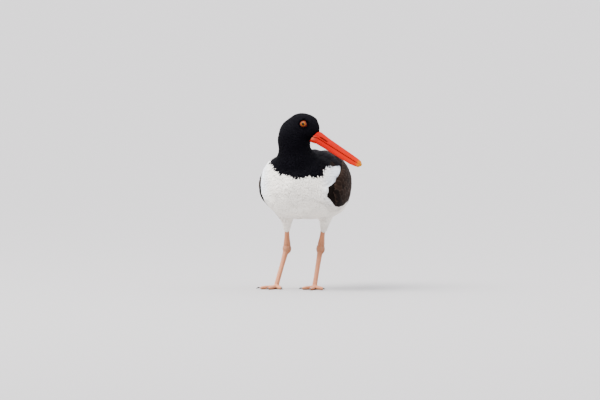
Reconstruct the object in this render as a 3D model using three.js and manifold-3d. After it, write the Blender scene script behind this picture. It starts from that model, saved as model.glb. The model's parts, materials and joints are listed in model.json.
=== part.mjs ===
// An American oystercatcher, life size, standing with its head turned to its left.
// Millimetres, +Z up. The bird faces -Y and its left side is +X.
import * as THREE from "three";
import { ConvexGeometry } from "three/addons/geometries/ConvexGeometry.js";
import { mergeVertices } from "three/addons/utils/BufferGeometryUtils.js";
import Module from "manifold-3d";

const wasm = await Module();
wasm.setup();

// Driving dimensions of the bird.
const GAP = 0.3; // between nodes that touch
// How far a face may move when needless triangles are merged.
const SIMPLIFY = { body: 0.03, tail: 0.08, wing: 0.32 };
const DEG = Math.PI / 180;
const TARSUS_TOP_Z = 59; // height of the ankle joint
const HIP_X = { left: 25, right: -32 }; // where each leg meets the belly
const HIP_Y = 12;
const HIP_Z = 112;
const FOOT_Y = 18; // where the tarsi meet the toes, along the body
const ANKLE_Y = 34;
const TOE_LENGTHS = { inner: 26, middle: 34, outer: 30 };
const TOE_SPREAD = { inner: -36, middle: 0, outer: 34 };
const CLAW_LENGTH = 6;
const BILL_LENGTH = 88;
const BILL_DROOP = 8 * DEG; // below the line of the skull
const HEAD_YAW = 71 * DEG; // towards the bird's left
const HEAD_PITCH = 20 * DEG;
const SKULL = new THREE.Vector3(11.5, -56, 232.5); // middle of the skull
const SKULL_HALF = { side: 17.8, length: 26, height: 19.8 };
const EYE_AT = { side: 11.4, forward: 3.8, up: 6.8 };
const EYE_RADIUS = 6.2;
const LID_RING = { radius: 4.7, thickness: 1, out: 3.6 }; // out from the middle of the eye
const NAPE = new THREE.Vector3(-6, -49.9, 224); // the full feathers behind the skull
const NAPE_RADIUS = 20.5;
const TORSO_FRONT = -77;
const TORSO_BACK = 142;
const WING_FRONT = { left: -58, right: -34 }; // the right wrist is further under the breast
const WING_CORE_BACK = 128;
const TAIL_ROOT_Y = 90;
const TAIL_LENGTH = 100;
const RECTRIX_WIDTH = 13;
const TAIL_ROOT_SIDE = 8; // how far the outermost tail feather is rooted from the middle
// How much fuller than a half ellipse the shoulders and the flanks are.
const SHOULDER_FULLNESS = 0.085;
const FLANK_FULLNESS = { front: 0.03, back: 0.19 };

// One row per station along the torso: y, centre height, half width, height above and below the centre.
const TORSO_STATIONS = [
  [-77, 153, 38, 30, 33],
  [-58, 151, 50.5, 40, 44],
  [-34, 150, 57.5, 46, 48],
  [0, 150, 58, 48, 48.5],
  [35, 151, 51.5, 43, 47],
  [70, 153, 40, 34, 39],
  [100, 156, 28, 22, 27],
  [125, 157, 19, 13, 16],
  [142, 157, 13, 8, 9],
];
// The surface that the folded wings lie on: the torso's sides, drawn in over the rump to the wing tips.
const MANTLE_STATIONS = [
  [-77, 153, 38, 30, 33],
  [-58, 151, 50.5, 40, 44],
  [-34, 150, 57.5, 46.5, 48],
  [0, 150, 58, 49, 48.5],
  [35, 151, 52, 44.5, 47],
  [70, 153.5, 41.5, 36, 39],
  [100, 156, 32, 25.5, 27],
  [130, 156, 22, 18.5, 17],
  [165, 152.5, 13, 12, 10],
  [205, 146.5, 6, 7, 5],
];

const colours = {
  black: [0x17161a, 0.75],
  white: [0xe9e7e2, 0.85],
  brown: [0x3a2f2a, 0.7],
  bill: [0xf4432a, 0.4],
  leg: [0xdca088, 0.6],
  claw: [0x33302e, 0.5],
  eye: [0xf2a01e, 0.15],
};
const materials = Object.fromEntries(
  Object.entries(colours).map(([name, [color, roughness]]) => [
    name,
    new THREE.MeshStandardMaterial({ name, color, roughness, metalness: 0 }),
  ]),
);

const bird = new THREE.Group();

// A closed three.js geometry as a solid that can be joined and cut, with its faces turned outwards.
function solid(geometry) {
  const plain = geometry.clone();
  plain.deleteAttribute("normal");
  plain.deleteAttribute("uv");
  const merged = mergeVertices(plain, 1e-4);
  const index = Array.from(merged.index.array);
  const at = (k) => new THREE.Vector3().fromBufferAttribute(merged.attributes.position, k);
  const kept = [];
  let volume = 0;
  for (let i = 0; i < index.length; i += 3) {
    const [a, b, c] = index.slice(i, i + 3);
    if (a === b || b === c || a === c) continue;
    kept.push(a, b, c);
    volume += at(a).dot(at(b).cross(at(c)));
  }
  if (volume < 0) kept.reverse();
  return new wasm.Manifold(
    new wasm.Mesh({
      numProp: 3,
      vertProperties: merged.attributes.position.array,
      triVerts: new Uint32Array(kept),
    }),
  );
}

function joined(pieces) {
  return pieces.reduce((whole, piece) => whole.add(piece));
}

// The largest closed surface of a solid, with any loose scrap and sealed hollow left out.
function largest(whole) {
  const bodies = whole.decompose();
  return bodies.reduce((a, b) => (b.volume() > a.volume() ? b : a));
}

// Names a finished solid and adds its mesh to the bird.
function addNode(name, whole, material, tolerance = SIMPLIFY.body) {
  const kept = largest(largest(whole).simplify(tolerance));
  const data = kept.getMesh();
  const stride = data.numProp;
  const position = new Float32Array(data.numVert * 3);
  for (let i = 0; i < data.numVert; i++)
    position.set(data.vertProperties.subarray(i * stride, i * stride + 3), i * 3);
  const geometry = new THREE.BufferGeometry();
  geometry.setAttribute("position", new THREE.BufferAttribute(position, 3));
  geometry.setIndex(new THREE.BufferAttribute(data.triVerts, 1));
  const mesh = new THREE.Mesh(geometry, materials[material]);
  mesh.name = name;
  bird.add(mesh);
}

// Reads a table of rows [x, value, value...] at x, with smooth curves between the rows.
function along(table, x) {
  const last = table.length - 1;
  let k = 0;
  while (k < last - 1 && x > table[k + 1][0]) k++;
  const at = (i) => table[Math.min(Math.max(i, 0), last)];
  const [a, b, c, d] = [at(k - 1), at(k), at(k + 1), at(k + 2)];
  const span = c[0] - b[0];
  const t = Math.min(Math.max((x - b[0]) / span, 0), 1);
  return b.slice(1).map((value, i) => {
    const j = i + 1;
    const leaving = k > 0 ? ((c[j] - a[j]) / (c[0] - a[0])) * span : c[j] - b[j];
    const arriving = k < last - 1 ? ((d[j] - b[j]) / (d[0] - b[0])) * span : c[j] - b[j];
    const bend = t * t * (3 - 2 * t);
    return (
      value * (1 - bend) +
      c[j] * bend +
      leaving * t * (1 - t) * (1 - t) -
      arriving * t * t * (1 - t)
    );
  });
}

// A point on a body surface: y along it, turn in degrees from the top round to the side.
function ringPoint(stations, y, turn, out = 0) {
  const [z, side, up, down] = along(stations, y);
  const sine = Math.sin(turn * DEG);
  const cosine = Math.cos(turn * DEG);
  const height = (cosine > 0 ? up : down) + out;
  const shoulder = SHOULDER_FULLNESS * (1 - THREE.MathUtils.smoothstep(y, -30, 20));
  const flank = THREE.MathUtils.lerp(
    FLANK_FULLNESS.front,
    FLANK_FULLNESS.back,
    THREE.MathUtils.smoothstep(y, -40, 30),
  );
  const fullness = 1 + (cosine > 0 ? shoulder : flank) * Math.sin(2 * turn * DEG) ** 2;
  return new THREE.Vector3((side + out) * sine * fullness, y, z + height * cosine * fullness);
}

// The torso with its round ends, grown by some distance for cutting its neighbours clear.
function torsoSolid(grown) {
  const ball = new THREE.SphereGeometry(1, 26, 21);
  const position = ball.attributes.position;
  const middle = (TORSO_FRONT + TORSO_BACK) / 2;
  const half = (TORSO_BACK - TORSO_FRONT) / 2;
  const frontCap = 34;
  const backCap = 26;
  for (let i = 0; i < position.count; i++) {
    const level = THREE.MathUtils.clamp(position.getY(i), -1, 1);
    const reach = middle - half * level;
    const turn = Math.atan2(position.getX(i), position.getZ(i)) / DEG;
    const onPole = Math.abs(level) > 0.99999;
    const fromFront = Math.min(1, (reach - TORSO_FRONT) / frontCap);
    const fromBack = Math.min(1, (TORSO_BACK - reach) / backCap);
    const closing = onPole
      ? 0
      : Math.sqrt(1 - (1 - fromFront) ** 2) * Math.sqrt(1 - (1 - fromBack) ** 2);
    const [z] = along(TORSO_STATIONS, reach);
    const rim = ringPoint(TORSO_STATIONS, reach, turn, grown);
    position.setXYZ(i, rim.x * closing, reach - grown * level, z + (rim.z - z) * closing);
  }
  return solid(ball);
}

// A round-ended limb along points; sizes holds [half side, half above, half below] at each point.
function limb(points, sizes, { around = 14, steps = 14, cap = 0.12, up, grown = 0 }) {
  const curve = new THREE.CatmullRomCurve3(
    points.map((p) => new THREE.Vector3(...p)),
    false,
    "centripetal",
  );
  const widths = new THREE.CatmullRomCurve3(
    sizes.map((s) => new THREE.Vector3(...s)),
    false,
    "centripetal",
  );
  const ball = new THREE.SphereGeometry(1, around, steps);
  const position = ball.attributes.position;
  const reference = new THREE.Vector3(...up);
  for (let i = 0; i < position.count; i++) {
    const polar = Math.acos(THREE.MathUtils.clamp(position.getY(i), -1, 1));
    const t = THREE.MathUtils.clamp(polar / Math.PI, 0, 1);
    const turn = Math.atan2(position.getX(i), position.getZ(i));
    const onPole = polar < 1e-4 || polar > Math.PI - 1e-4;
    const near = Math.min(1, Math.min(t, 1 - t) / cap);
    const closing = onPole ? 0 : Math.sqrt(1 - (1 - near) ** 2);
    const centre = curve.getPoint(t);
    const tangent = curve.getTangent(t);
    const side = new THREE.Vector3().crossVectors(tangent, reference).normalize();
    const above = new THREE.Vector3().crossVectors(side, tangent);
    const size = widths.getPoint(t);
    const height = (Math.cos(turn) > 0 ? size.y : size.z) + grown;
    centre.addScaledVector(side, -(size.x + grown) * Math.sin(turn) * closing);
    centre.addScaledVector(above, height * Math.cos(turn) * closing);
    centre.addScaledVector(tangent, onPole ? (t < 0.5 ? -grown : grown) : 0);
    position.setXYZ(i, centre.x, centre.y, centre.z);
  }
  return solid(ball);
}

// All space on the side of a plane that its normal points to, past some distance from it.
function halfSpace(point, normal, past) {
  const size = 900;
  const box = new THREE.BoxGeometry(size, size, size);
  box.translate(0, 0, size / 2 + past);
  const toNormal = new THREE.Quaternion().setFromUnitVectors(
    new THREE.Vector3(0, 0, 1),
    normal.clone().normalize(),
  );
  box.applyQuaternion(toNormal);
  box.translate(point.x, point.y, point.z);
  return solid(box);
}

// Numbers from 0 to 1 that repeat from run to run.
function seeded(seed) {
  let state = seed;
  return () => {
    state = (state * 1664525 + 1013904223) % 4294967296;
    return state / 4294967296;
  };
}

// The skull's own frame: x to the head's left, y backwards, z up.
const skullFrame = new THREE.Matrix4()
  .makeTranslation(SKULL.x, SKULL.y, SKULL.z)
  .multiply(new THREE.Matrix4().makeRotationZ(HEAD_YAW))
  .multiply(new THREE.Matrix4().makeRotationX(HEAD_PITCH));

function skullPoint(side, forward, up) {
  return new THREE.Vector3(side, -forward, up).applyMatrix4(skullFrame);
}

// Head

function skullGeometry(grown) {
  const ball = new THREE.SphereGeometry(1, 22, 16);
  ball.rotateX(Math.PI / 2);
  const position = ball.attributes.position;
  const { side, length, height } = SKULL_HALF;
  for (let i = 0; i < position.count; i++) {
    const [x, y, z] = [position.getX(i), position.getY(i), position.getZ(i)];
    const face = Math.max(0, -y);
    const brow = 1 + 0.05 * Math.exp(-(((y + 0.35) / 0.3) ** 2)) * Math.max(0, z);
    position.setXYZ(
      i,
      x * (side * (1 - 0.42 * face * face) + grown),
      y * (length + grown),
      z * (height * brow * (z < 0 ? 1 - 0.28 * face : 1) + grown),
    );
  }
  return ball.applyMatrix4(skullFrame);
}

function cornersOf(geometry) {
  const { position } = geometry.attributes;
  return Array.from({ length: position.count }, (_, i) =>
    new THREE.Vector3().fromBufferAttribute(position, i),
  );
}

// The skull with its nape: a taut skin over the back of the skull and the nape's round feathers.
function headSolid() {
  const skull = skullGeometry(0);
  const nape = new THREE.SphereGeometry(NAPE_RADIUS, 16, 12);
  nape.translate(NAPE.x, NAPE.y, NAPE.z);
  const face = skullPoint(0, 1, 0).sub(SKULL);
  const behind = cornersOf(skull).filter((corner) => corner.clone().sub(SKULL).dot(face) < 1);
  return solid(skull).add(solid(new ConvexGeometry([...behind, ...cornersOf(nape)])));
}

function eyeBall(sign, grown) {
  const ball = new THREE.SphereGeometry(EYE_RADIUS + grown, 14, 9);
  const at = skullPoint(sign * EYE_AT.side, EYE_AT.forward, EYE_AT.up);
  ball.translate(at.x, at.y, at.z);
  return solid(ball);
}

// The bare ring of the lids, standing just proud of the feathers.
function lids(sign) {
  const ring = new THREE.TorusGeometry(LID_RING.radius, LID_RING.thickness, 5, 14);
  const facing = new THREE.Vector3(sign, -0.3, 0.12).normalize();
  ring.applyQuaternion(
    new THREE.Quaternion().setFromUnitVectors(new THREE.Vector3(0, 0, 1), facing),
  );
  const centre = new THREE.Vector3(sign * EYE_AT.side, -EYE_AT.forward, EYE_AT.up);
  centre.addScaledVector(facing, LID_RING.out);
  ring.translate(centre.x, centre.y, centre.z);
  ring.applyMatrix4(skullFrame);
  return solid(ring);
}

// Bill: a tall narrow blade; rows give length share, half width, height above and below the mouth line.
const BILL_STATIONS = [
  [0, 6.4, 9.6, 7.8],
  [0.12, 5.6, 8.7, 7.3],
  [0.3, 4.4, 7.2, 6.6],
  [0.55, 3.5, 6.5, 6.2],
  [0.8, 2.8, 5.8, 5.6],
  [0.93, 2.4, 4.9, 4.5],
  [1, 1.9, 3.6, 3.2],
];
const BILL_ROOT = { forward: 12.4, up: -3.2 };
const BILL_HIDDEN = 9; // length of the root that lies inside the face

const billFrame = skullFrame
  .clone()
  .multiply(new THREE.Matrix4().makeTranslation(0, -BILL_ROOT.forward, BILL_ROOT.up))
  .multiply(new THREE.Matrix4().makeRotationX(BILL_DROOP));

function mandible(upper) {
  const ball = new THREE.SphereGeometry(1, 14, 18);
  const position = ball.attributes.position;
  const length = BILL_LENGTH + BILL_HIDDEN;
  for (let i = 0; i < position.count; i++) {
    const polar = Math.acos(THREE.MathUtils.clamp(position.getY(i), -1, 1));
    const t = polar / Math.PI;
    const turn = Math.atan2(position.getX(i), position.getZ(i));
    const onPole = polar < 1e-4 || polar > Math.PI - 1e-4;
    const near = Math.min(1, t / 0.03, (1 - t) / 0.07);
    const closing = onPole ? 0 : Math.sqrt(1 - (1 - near) ** 2);
    const [side, above, below] = along(BILL_STATIONS, t);
    const cosine = Math.cos(turn);
    const height = cosine > 0 ? above : below;
    const edge = Math.sign(Math.sin(turn)) * Math.abs(Math.sin(turn)) ** 0.8;
    position.setXYZ(i, side * edge * closing, -length * t, height * cosine * closing);
  }
  const mouth = new THREE.Vector3(0, 0, 0);
  const up = new THREE.Vector3(0, 0, upper ? 1 : -1);
  return solid(ball).intersect(halfSpace(mouth, up, GAP / 2));
}

function nostrilGroove(sign) {
  const slot = new THREE.SphereGeometry(1, 12, 8);
  slot.scale(1.1, 8.5, 0.75);
  slot.rotateX(-3 * DEG);
  slot.translate(sign * 4.7, -26, 2.9);
  return solid(slot);
}

function placed(whole, frame) {
  return whole.transform(frame.elements.slice());
}

// Neck

const NECK_POINTS = [
  [0, -30, 150],
  [-2, -38, 170],
  [-3.5, -46, 188],
  [-4.2, -51, 203],
  [-3.5, -53, 217],
  [0.5, -54, 230],
  [5, -54, 242],
];
const NECK_SIZES = [
  [40, 36, 36],
  [42, 34, 34],
  [31, 28, 27],
  [22.6, 22, 22],
  [23, 22, 22.5],
  [21, 19.5, 20],
  [12, 12, 13],
];

function neckSolid(grown) {
  return limb(NECK_POINTS, NECK_SIZES, {
    around: 26,
    steps: 16,
    cap: 0.14,
    up: [0, -1, 0],
    grown,
  });
}

// Wings

// How far the folded wing stands off the mantle surface, thin at its edges.
function wingHeight(sign, y, turn) {
  const frontY = sign > 0 ? WING_FRONT.left : WING_FRONT.right;
  const [top, bottom] = wingEdges(sign, y);
  const across = THREE.MathUtils.clamp((turn - top) / (bottom - top), 0, 1);
  const rim = Math.sqrt(Math.max(0, 1 - (2 * across - 1) ** 4));
  const front = THREE.MathUtils.clamp((y - frontY) / 22, 0, 1);
  const back = THREE.MathUtils.clamp((205 - y) / 110, 0.15, 1);
  return 0.4 + 3.6 * rim * Math.sqrt(1 - (1 - front) ** 2) * back;
}

// Where the folded wing starts and ends round the body, in degrees from the top.
const WING_EDGE_STATIONS = [
  [-58, 94, 113],
  [-50, 84, 119],
  [-40, 74, 124],
  [-25, 64, 126],
  [-12, 54, 121],
  [2, 36, 115],
  [25, 18, 108],
  [45, 12, 106],
  [90, 6, 104],
  [130, 5, 99],
  [205, 40, 95],
];

// The breast and flank feathers hide more of the right wing's front than of the left's.
function wingEdges(sign, y) {
  if (sign > 0) return along(WING_EDGE_STATIONS, y);
  const frontShift = WING_FRONT.right - WING_FRONT.left;
  const [top, bottom] = along(
    WING_EDGE_STATIONS,
    y - frontShift * THREE.MathUtils.clamp((60 - y) / 100, 0, 1),
  );
  const hidden = THREE.MathUtils.clamp((10 - y) / 40, 0, 1);
  return [top + 6 * hidden, bottom - 16 * hidden];
}

function wingPoint(sign, y, turn, out) {
  const point = ringPoint(MANTLE_STATIONS, y, turn, wingHeight(sign, y, turn) + out);
  point.x *= sign;
  return point;
}

// A closed plate over a grid: place(u, v, layer) gives each point, layer 1 outside and 0 inside.
function plate(lengths, widths, place) {
  const position = [];
  const index = [];
  const at = (layer, i, j) => (layer * (lengths + 1) + i) * (widths + 1) + j;
  for (const layer of [0, 1])
    for (let i = 0; i <= lengths; i++)
      for (let j = 0; j <= widths; j++)
        position.push(...place(i / lengths, (2 * j) / widths - 1, layer).toArray());
  const quad = (a, b, c, d) => index.push(a, b, c, a, c, d);
  for (let i = 0; i < lengths; i++)
    for (let j = 0; j < widths; j++) {
      quad(at(1, i, j), at(1, i + 1, j), at(1, i + 1, j + 1), at(1, i, j + 1));
      const [a, b] = [at(0, i, j), at(0, i + 1, j)];
      const [c, d] = [at(0, i + 1, j + 1), at(0, i, j + 1)];
      index.push(a, c, b, a, d, c);
    }
  for (let i = 0; i < lengths; i++) {
    quad(at(0, i, 0), at(0, i + 1, 0), at(1, i + 1, 0), at(1, i, 0));
    quad(at(1, i, widths), at(1, i + 1, widths), at(0, i + 1, widths), at(0, i, widths));
  }
  for (let j = 0; j < widths; j++) {
    quad(at(1, 0, j), at(1, 0, j + 1), at(0, 0, j + 1), at(0, 0, j));
    quad(at(0, lengths, j), at(0, lengths, j + 1), at(1, lengths, j + 1), at(1, lengths, j));
  }
  const geometry = new THREE.BufferGeometry();
  geometry.setAttribute("position", new THREE.Float32BufferAttribute(position, 3));
  geometry.setIndex(index);
  return solid(geometry);
}

// The step in (y, turn) that one millimetre at a heading makes on the wing; 0 degrees is straight back.
function stepOnWing(sign, y, turn, heading) {
  const here = wingPoint(sign, y, turn, 0);
  const perY = wingPoint(sign, y + 1, turn, 0).sub(here).length();
  const perTurn = wingPoint(sign, y, turn + 1, 0).sub(here).length();
  return [Math.cos(heading * DEG) / perY, Math.sin(heading * DEG) / perTurn];
}

// One feather of the folded wing, lying on the wing's surface with its root sunk in it.
function wingFeather(sign, feather) {
  const { y, turn, length, width, heading, lift, sunk, tilt, point, steps, across } = feather;
  const line = [[y, turn]];
  for (let i = 0; i < steps; i++) {
    const [a, b] = line[i];
    const [dy, dt] = stepOnWing(sign, a, b, heading);
    line.push([a + (dy * length) / steps, b + (dt * length) / steps]);
  }
  return plate(steps, across, (u, v, layer) => {
    const [a, b] = line[Math.round(u * steps)];
    const [dy, dt] = stepOnWing(sign, a, b, heading + 90);
    const swell = Math.min(1, 0.55 + 1.3 * u);
    const taper = Math.sqrt(Math.max(0, 1 - Math.max(0, (u - point) / (1 - point)) ** 2));
    const reach = (width / 2) * swell * (0.12 + 0.88 * taper) * v;
    const crown = 0.25 * (1 - v * v);
    const top = lift * (0.25 + 0.75 * u) + tilt * v + crown;
    const bottom = -sunk * (1 - 0.75 * u) + tilt * v;
    return wingPoint(sign, a + dy * reach, b + dt * reach, layer ? top : bottom);
  });
}

// Rows of feathers from the lowest tier to the highest. Roots run evenly from first to last.
const WING_ROWS = [
  {
    part: "primaries", count: 3, first: [98, 86], last: [84, 58], lengths: [101, 68],
    width: 15, headings: [1, 6], lift: 0.9, sunk: 0.7, tilt: 0.35, point: 0.72, steps: 4, across: 1,
  },
  {
    part: "secondaries", count: 3, first: [16, 100], last: [64, 92], lengths: [52, 62],
    width: 17, headings: [9, 5], lift: 1.2, sunk: 1, tilt: -0.3, point: 0.7, steps: 3, across: 1,
  },
  {
    part: "tertials", count: 3, first: [34, 78], last: [26, 30], lengths: [96, 132],
    width: 25, headings: [3, 3], lift: 1.5, sunk: 1.2, tilt: 0.4, point: 0.68, steps: 4, across: 1,
  },
  {
    part: "greater_coverts", count: 5, first: [-24, 108], last: [54, 86], lengths: [32, 40],
    width: 17, headings: [22, 8], lift: 1.5, sunk: 1, tilt: -0.3, point: 0.6, steps: 3, across: 1,
  },
  {
    part: "median_coverts", count: 4, first: [-34, 102], last: [40, 74], lengths: [25, 28],
    width: 18, headings: [20, 8], lift: 1.7, sunk: 1, tilt: -0.3, point: 0.55, steps: 2, across: 1,
  },
  {
    part: "lesser_coverts", count: 3, first: [-38, 92], last: [22, 62], lengths: [19, 22],
    width: 20, headings: [18, 8], lift: 1.7, sunk: 1, tilt: -0.3, point: 0.5, steps: 2, across: 1,
  },
  {
    part: "rear_scapulars", count: 3, first: [42, 58], last: [34, 20], lengths: [44, 52],
    width: 20, headings: [4, 0], lift: 2.1, sunk: 1, tilt: 0.3, point: 0.6, steps: 3, across: 1,
  },
  {
    part: "middle_scapulars", count: 3, first: [18, 58], last: [12, 26], lengths: [34, 38],
    width: 17, headings: [5, 0], lift: 2, sunk: 1, tilt: 0.3, point: 0.55, steps: 3, across: 1,
  },
  {
    part: "front_scapulars", count: 3, first: [-2, 60], last: [-6, 36], lengths: [26, 30],
    width: 18, headings: [8, 2], lift: 1.8, sunk: 1, tilt: 0.3, point: 0.5, steps: 2, across: 1,
  },
];

function featherRow(sign, row, random) {
  const between = ([a, b], share) => a + (b - a) * share;
  return Array.from({ length: row.count }, (_, i) => {
    const share = i / (row.count - 1);
    const vary = (amount) => (random() - 0.5) * amount;
    return wingFeather(sign, {
      ...row,
      y: between([row.first[0], row.last[0]], share) + vary(2),
      turn: between([row.first[1], row.last[1]], share) + vary(1),
      length: between(row.lengths, share) * (1 + vary(0.05)),
      width: row.width * (1 + vary(0.06)),
      heading: between(row.headings, share) + vary(3),
    });
  });
}

function wingSolid(sign) {
  const frontY = sign > 0 ? WING_FRONT.left : WING_FRONT.right;
  const core = plate(11, 6, (u, v, layer) => {
    const y = frontY + (WING_CORE_BACK - frontY) * u;
    const [top, bottom] = wingEdges(sign, y);
    const turn = (top + bottom) / 2 + ((bottom - top) / 2) * v;
    return wingPoint(sign, y, turn, layer ? 0 : -8);
  });
  const random = seeded(sign > 0 ? 11 : 29);
  const feathers = WING_ROWS.flatMap((row) => featherRow(sign, row, random));
  const ownSide = halfSpace(
    new THREE.Vector3(0, 0, 0),
    new THREE.Vector3(sign, 0, 0),
    GAP,
  );
  return joined([core, ...feathers])
    .subtract(torsoSolid(GAP))
    .subtract(neckSolid(GAP))
    .intersect(ownSide);
}

// Tail

const TAIL_SLOPE = 7.5 * DEG; // downwards towards the tip
const TAIL_ROOT_Z = 151;
const RECTRICES = 10;
const TAIL_FAN = 1.8; // degrees each side at the outermost feather

function rectrix(place) {
  const outer = Math.abs(place);
  const heading = place * TAIL_FAN * DEG;
  const length = TAIL_LENGTH * (1 - 0.05 * outer * outer);
  const rootX = place * TAIL_ROOT_SIDE;
  return plate(6, 2, (u, v, layer) => {
    const taper = Math.sqrt(Math.max(0, 1 - Math.max(0, (u - 0.9) / 0.1) ** 2));
    const across = (RECTRIX_WIDTH / 2) * (0.35 + 0.65 * Math.min(1, 2.2 * u)) * (0.4 + 0.6 * taper) * v;
    const back = length * u;
    const x = rootX + back * Math.sin(heading) + across * Math.cos(heading);
    const y = TAIL_ROOT_Y + back * Math.cos(heading) - across * Math.sin(heading);
    const arch = 2.2 * (1 - outer) - 0.0025 * x * x;
    const z = TAIL_ROOT_Z - back * Math.tan(TAIL_SLOPE) + arch + 0.25 * (1 - v * v);
    return new THREE.Vector3(x, y, z + (layer ? 0.45 : -0.45));
  });
}

function tailSolid() {
  const core = limb(
    [
      [0, 86, 152],
      [0, 114, 149],
      [0, 146, 145],
    ],
    [
      [17, 5, 7],
      [14, 3.5, 5],
      [10.5, 1.6, 2],
    ],
    { around: 16, steps: 9, up: [0, 0, 1], cap: 0.2 },
  );
  const places = Array.from({ length: RECTRICES }, (_, i) => (2 * i) / (RECTRICES - 1) - 1);
  return joined([core, ...places.map(rectrix)])
    .subtract(torsoSolid(GAP));
}

// Legs

const legs = {
  left: { sign: 1, ankle: [12.4, ANKLE_Y], foot: [7.5, FOOT_Y], toeOut: 4 },
  right: { sign: -1, ankle: [-37, ANKLE_Y], foot: [-48.7, FOOT_Y], toeOut: -6 },
};
const TOE_HEIGHT = 2.3;
const THIGH_END_Z = 84;

function thighSolid({ sign, ankle }, grown) {
  const atEnd = 0.45; // share of the way from ankle to hip, where the feathers stop
  const hip = [HIP_X[sign > 0 ? "left" : "right"], HIP_Y, HIP_Z];
  const end = [0, 1].map((k) => ankle[k] + (hip[k] - ankle[k]) * atEnd);
  return limb(
    [
      [hip[0] + sign, -6, 122],
      [hip[0], hip[1] + 1, 104],
      [(hip[0] + end[0]) / 2, (hip[1] + end[1]) / 2 + 1, 94],
      [end[0], end[1], THIGH_END_Z],
    ],
    [
      [16, 20, 20],
      [12, 15, 15],
      [7.6, 8.6, 8.6],
      [4.2, 4.8, 4.8],
    ],
    { around: 16, steps: 10, up: [0, 1, 0], cap: 0.1, grown },
  );
}

function legSolid({ sign, ankle, foot }) {
  const [ax, ay] = ankle;
  const [fx, fy] = foot;
  const hipX = HIP_X[sign > 0 ? "left" : "right"];
  const onShin = (share) => [
    ax + (hipX - ax) * share,
    ay + (HIP_Y - ay) * share,
    TARSUS_TOP_Z + (HIP_Z - TARSUS_TOP_Z) * share,
  ];
  const onTarsus = (share) => [
    ax + (fx - ax) * share,
    ay + (fy - ay) * share,
    TARSUS_TOP_Z + (5 - TARSUS_TOP_Z) * share,
  ];
  const shin = limb(
    [onShin(0.56), onShin(0.3), onShin(0.1), onShin(0)],
    [[2.9, 3.3, 3.3], [3.6, 3.9, 3.8], [5, 5.1, 5], [5.2, 5.2, 5]],
    { around: 10, steps: 8, up: [0, 1, 0], cap: 0.14 },
  );
  const joint = new THREE.SphereGeometry(1, 12, 8);
  joint.scale(6.3, 6.2, 8);
  joint.translate(ax, ay - 0.6, TARSUS_TOP_Z - 2);
  const tarsus = limb(
    [onTarsus(0), onTarsus(0.15), onTarsus(0.5), onTarsus(0.86), onTarsus(1.02)],
    [[5, 5, 5], [3.9, 4.2, 4], [3.3, 3.6, 3.4], [3.3, 3.6, 3.5], [3.8, 3.8, 3.6]],
    { around: 10, steps: 10, up: [0, 1, 0], cap: 0.07 },
  );
  return joined([shin, solid(joint), tarsus]);
}

// A toe's line on the floor: where it is at a share of its length, from the foot of the tarsus.
function toePoint({ foot, toeOut }, toe, share, sign) {
  const heading = (toeOut + sign * TOE_SPREAD[toe]) * DEG;
  const reach = TOE_LENGTHS[toe] * share;
  return [foot[0] + Math.sin(heading) * reach, foot[1] - Math.cos(heading) * reach];
}

function toeSolid(leg, toe, grown) {
  const shares = [-0.06, 0.12, 0.35, 0.6, 0.8, 1];
  const thick = [3.3, 3.1, 2.7, 2.9, 2.4, 1.9];
  const points = shares.map((share) => {
    const [x, y] = toePoint(leg, toe, share, leg.sign);
    return [x, y, TOE_HEIGHT + 0.6 * (1 - share)];
  });
  return limb(
    points,
    thick.map((t) => [t * 1.05, t * 0.95, t]),
    { around: 9, steps: 8, up: [0, 0, 1], cap: 0.1, grown },
  );
}

// The short web between two toes, a thin skin from the foot out along both.
function webSolid(leg, toeA, toeB, reach) {
  return plate(3, 2, (u, v, layer) => {
    const share = 0.05 + reach * u * (1 - 0.35 * (1 - v * v));
    const [ax, ay] = toePoint(leg, toeA, share, leg.sign);
    const [bx, by] = toePoint(leg, toeB, share, leg.sign);
    const mix = (v + 1) / 2;
    const z = TOE_HEIGHT - 0.6 + (layer ? 0.45 : -0.45);
    return new THREE.Vector3(ax + (bx - ax) * mix, ay + (by - ay) * mix, z);
  });
}

const upwards = new THREE.Vector3(0, 0, 1);
const aboveFloor = halfSpace(new THREE.Vector3(0, 0, 0), upwards, 0);
const footTop = new THREE.Vector3(0, 0, 6.6);
const aboveFoot = halfSpace(footTop, upwards, GAP / 2);
const belowFootTop = halfSpace(footTop, upwards.clone().negate(), GAP / 2);

function footSolid(leg) {
  const toes = Object.keys(TOE_LENGTHS).map((toe) => toeSolid(leg, toe, 0));
  const pad = new THREE.SphereGeometry(1, 12, 8);
  pad.scale(5.2, 6, 4.4);
  pad.translate(leg.foot[0], leg.foot[1] - 0.5, 3);
  const order = leg.sign > 0 ? ["inner", "middle", "outer"] : ["outer", "middle", "inner"];
  const webs = [
    webSolid(leg, order[0], order[1], leg.sign > 0 ? 0.26 : 0.4),
    webSolid(leg, order[1], order[2], leg.sign > 0 ? 0.4 : 0.26),
  ];
  return joined([...toes, solid(pad), ...webs, legSolid(leg)])
    .intersect(aboveFloor)
    .intersect(belowFootTop);
}

function clawSolid(leg, toe) {
  const point = (extra, z) => {
    const share = 1 + (extra - 1.5) / TOE_LENGTHS[toe];
    const [x, y] = toePoint(leg, toe, share, leg.sign);
    return [x, y, z];
  };
  return limb(
    [point(0, 2.6), point(2.5, 2.9), point(5, 2.3), point(CLAW_LENGTH + 1.5, 1.3)],
    [[1.5, 1.3, 1.3], [1.4, 1.2, 1.3], [1, 0.8, 0.9], [0.45, 0.4, 0.4]],
    { around: 7, steps: 4, up: [0, 0, 1], cap: 0.2 },
  );
}

// The pieces of the body

const headForward = skullPoint(0, 1, 0).sub(skullPoint(0, 0, 0)).setZ(0).normalize();
const headCut = {
  point: new THREE.Vector3(-2, -53, 213),
  normal: new THREE.Vector3(0, 0, 1).addScaledVector(headForward, 0.38),
};
const neckCut = {
  point: new THREE.Vector3(0, -44, 184),
  normal: new THREE.Vector3(0, -0.55, 1),
};

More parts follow.
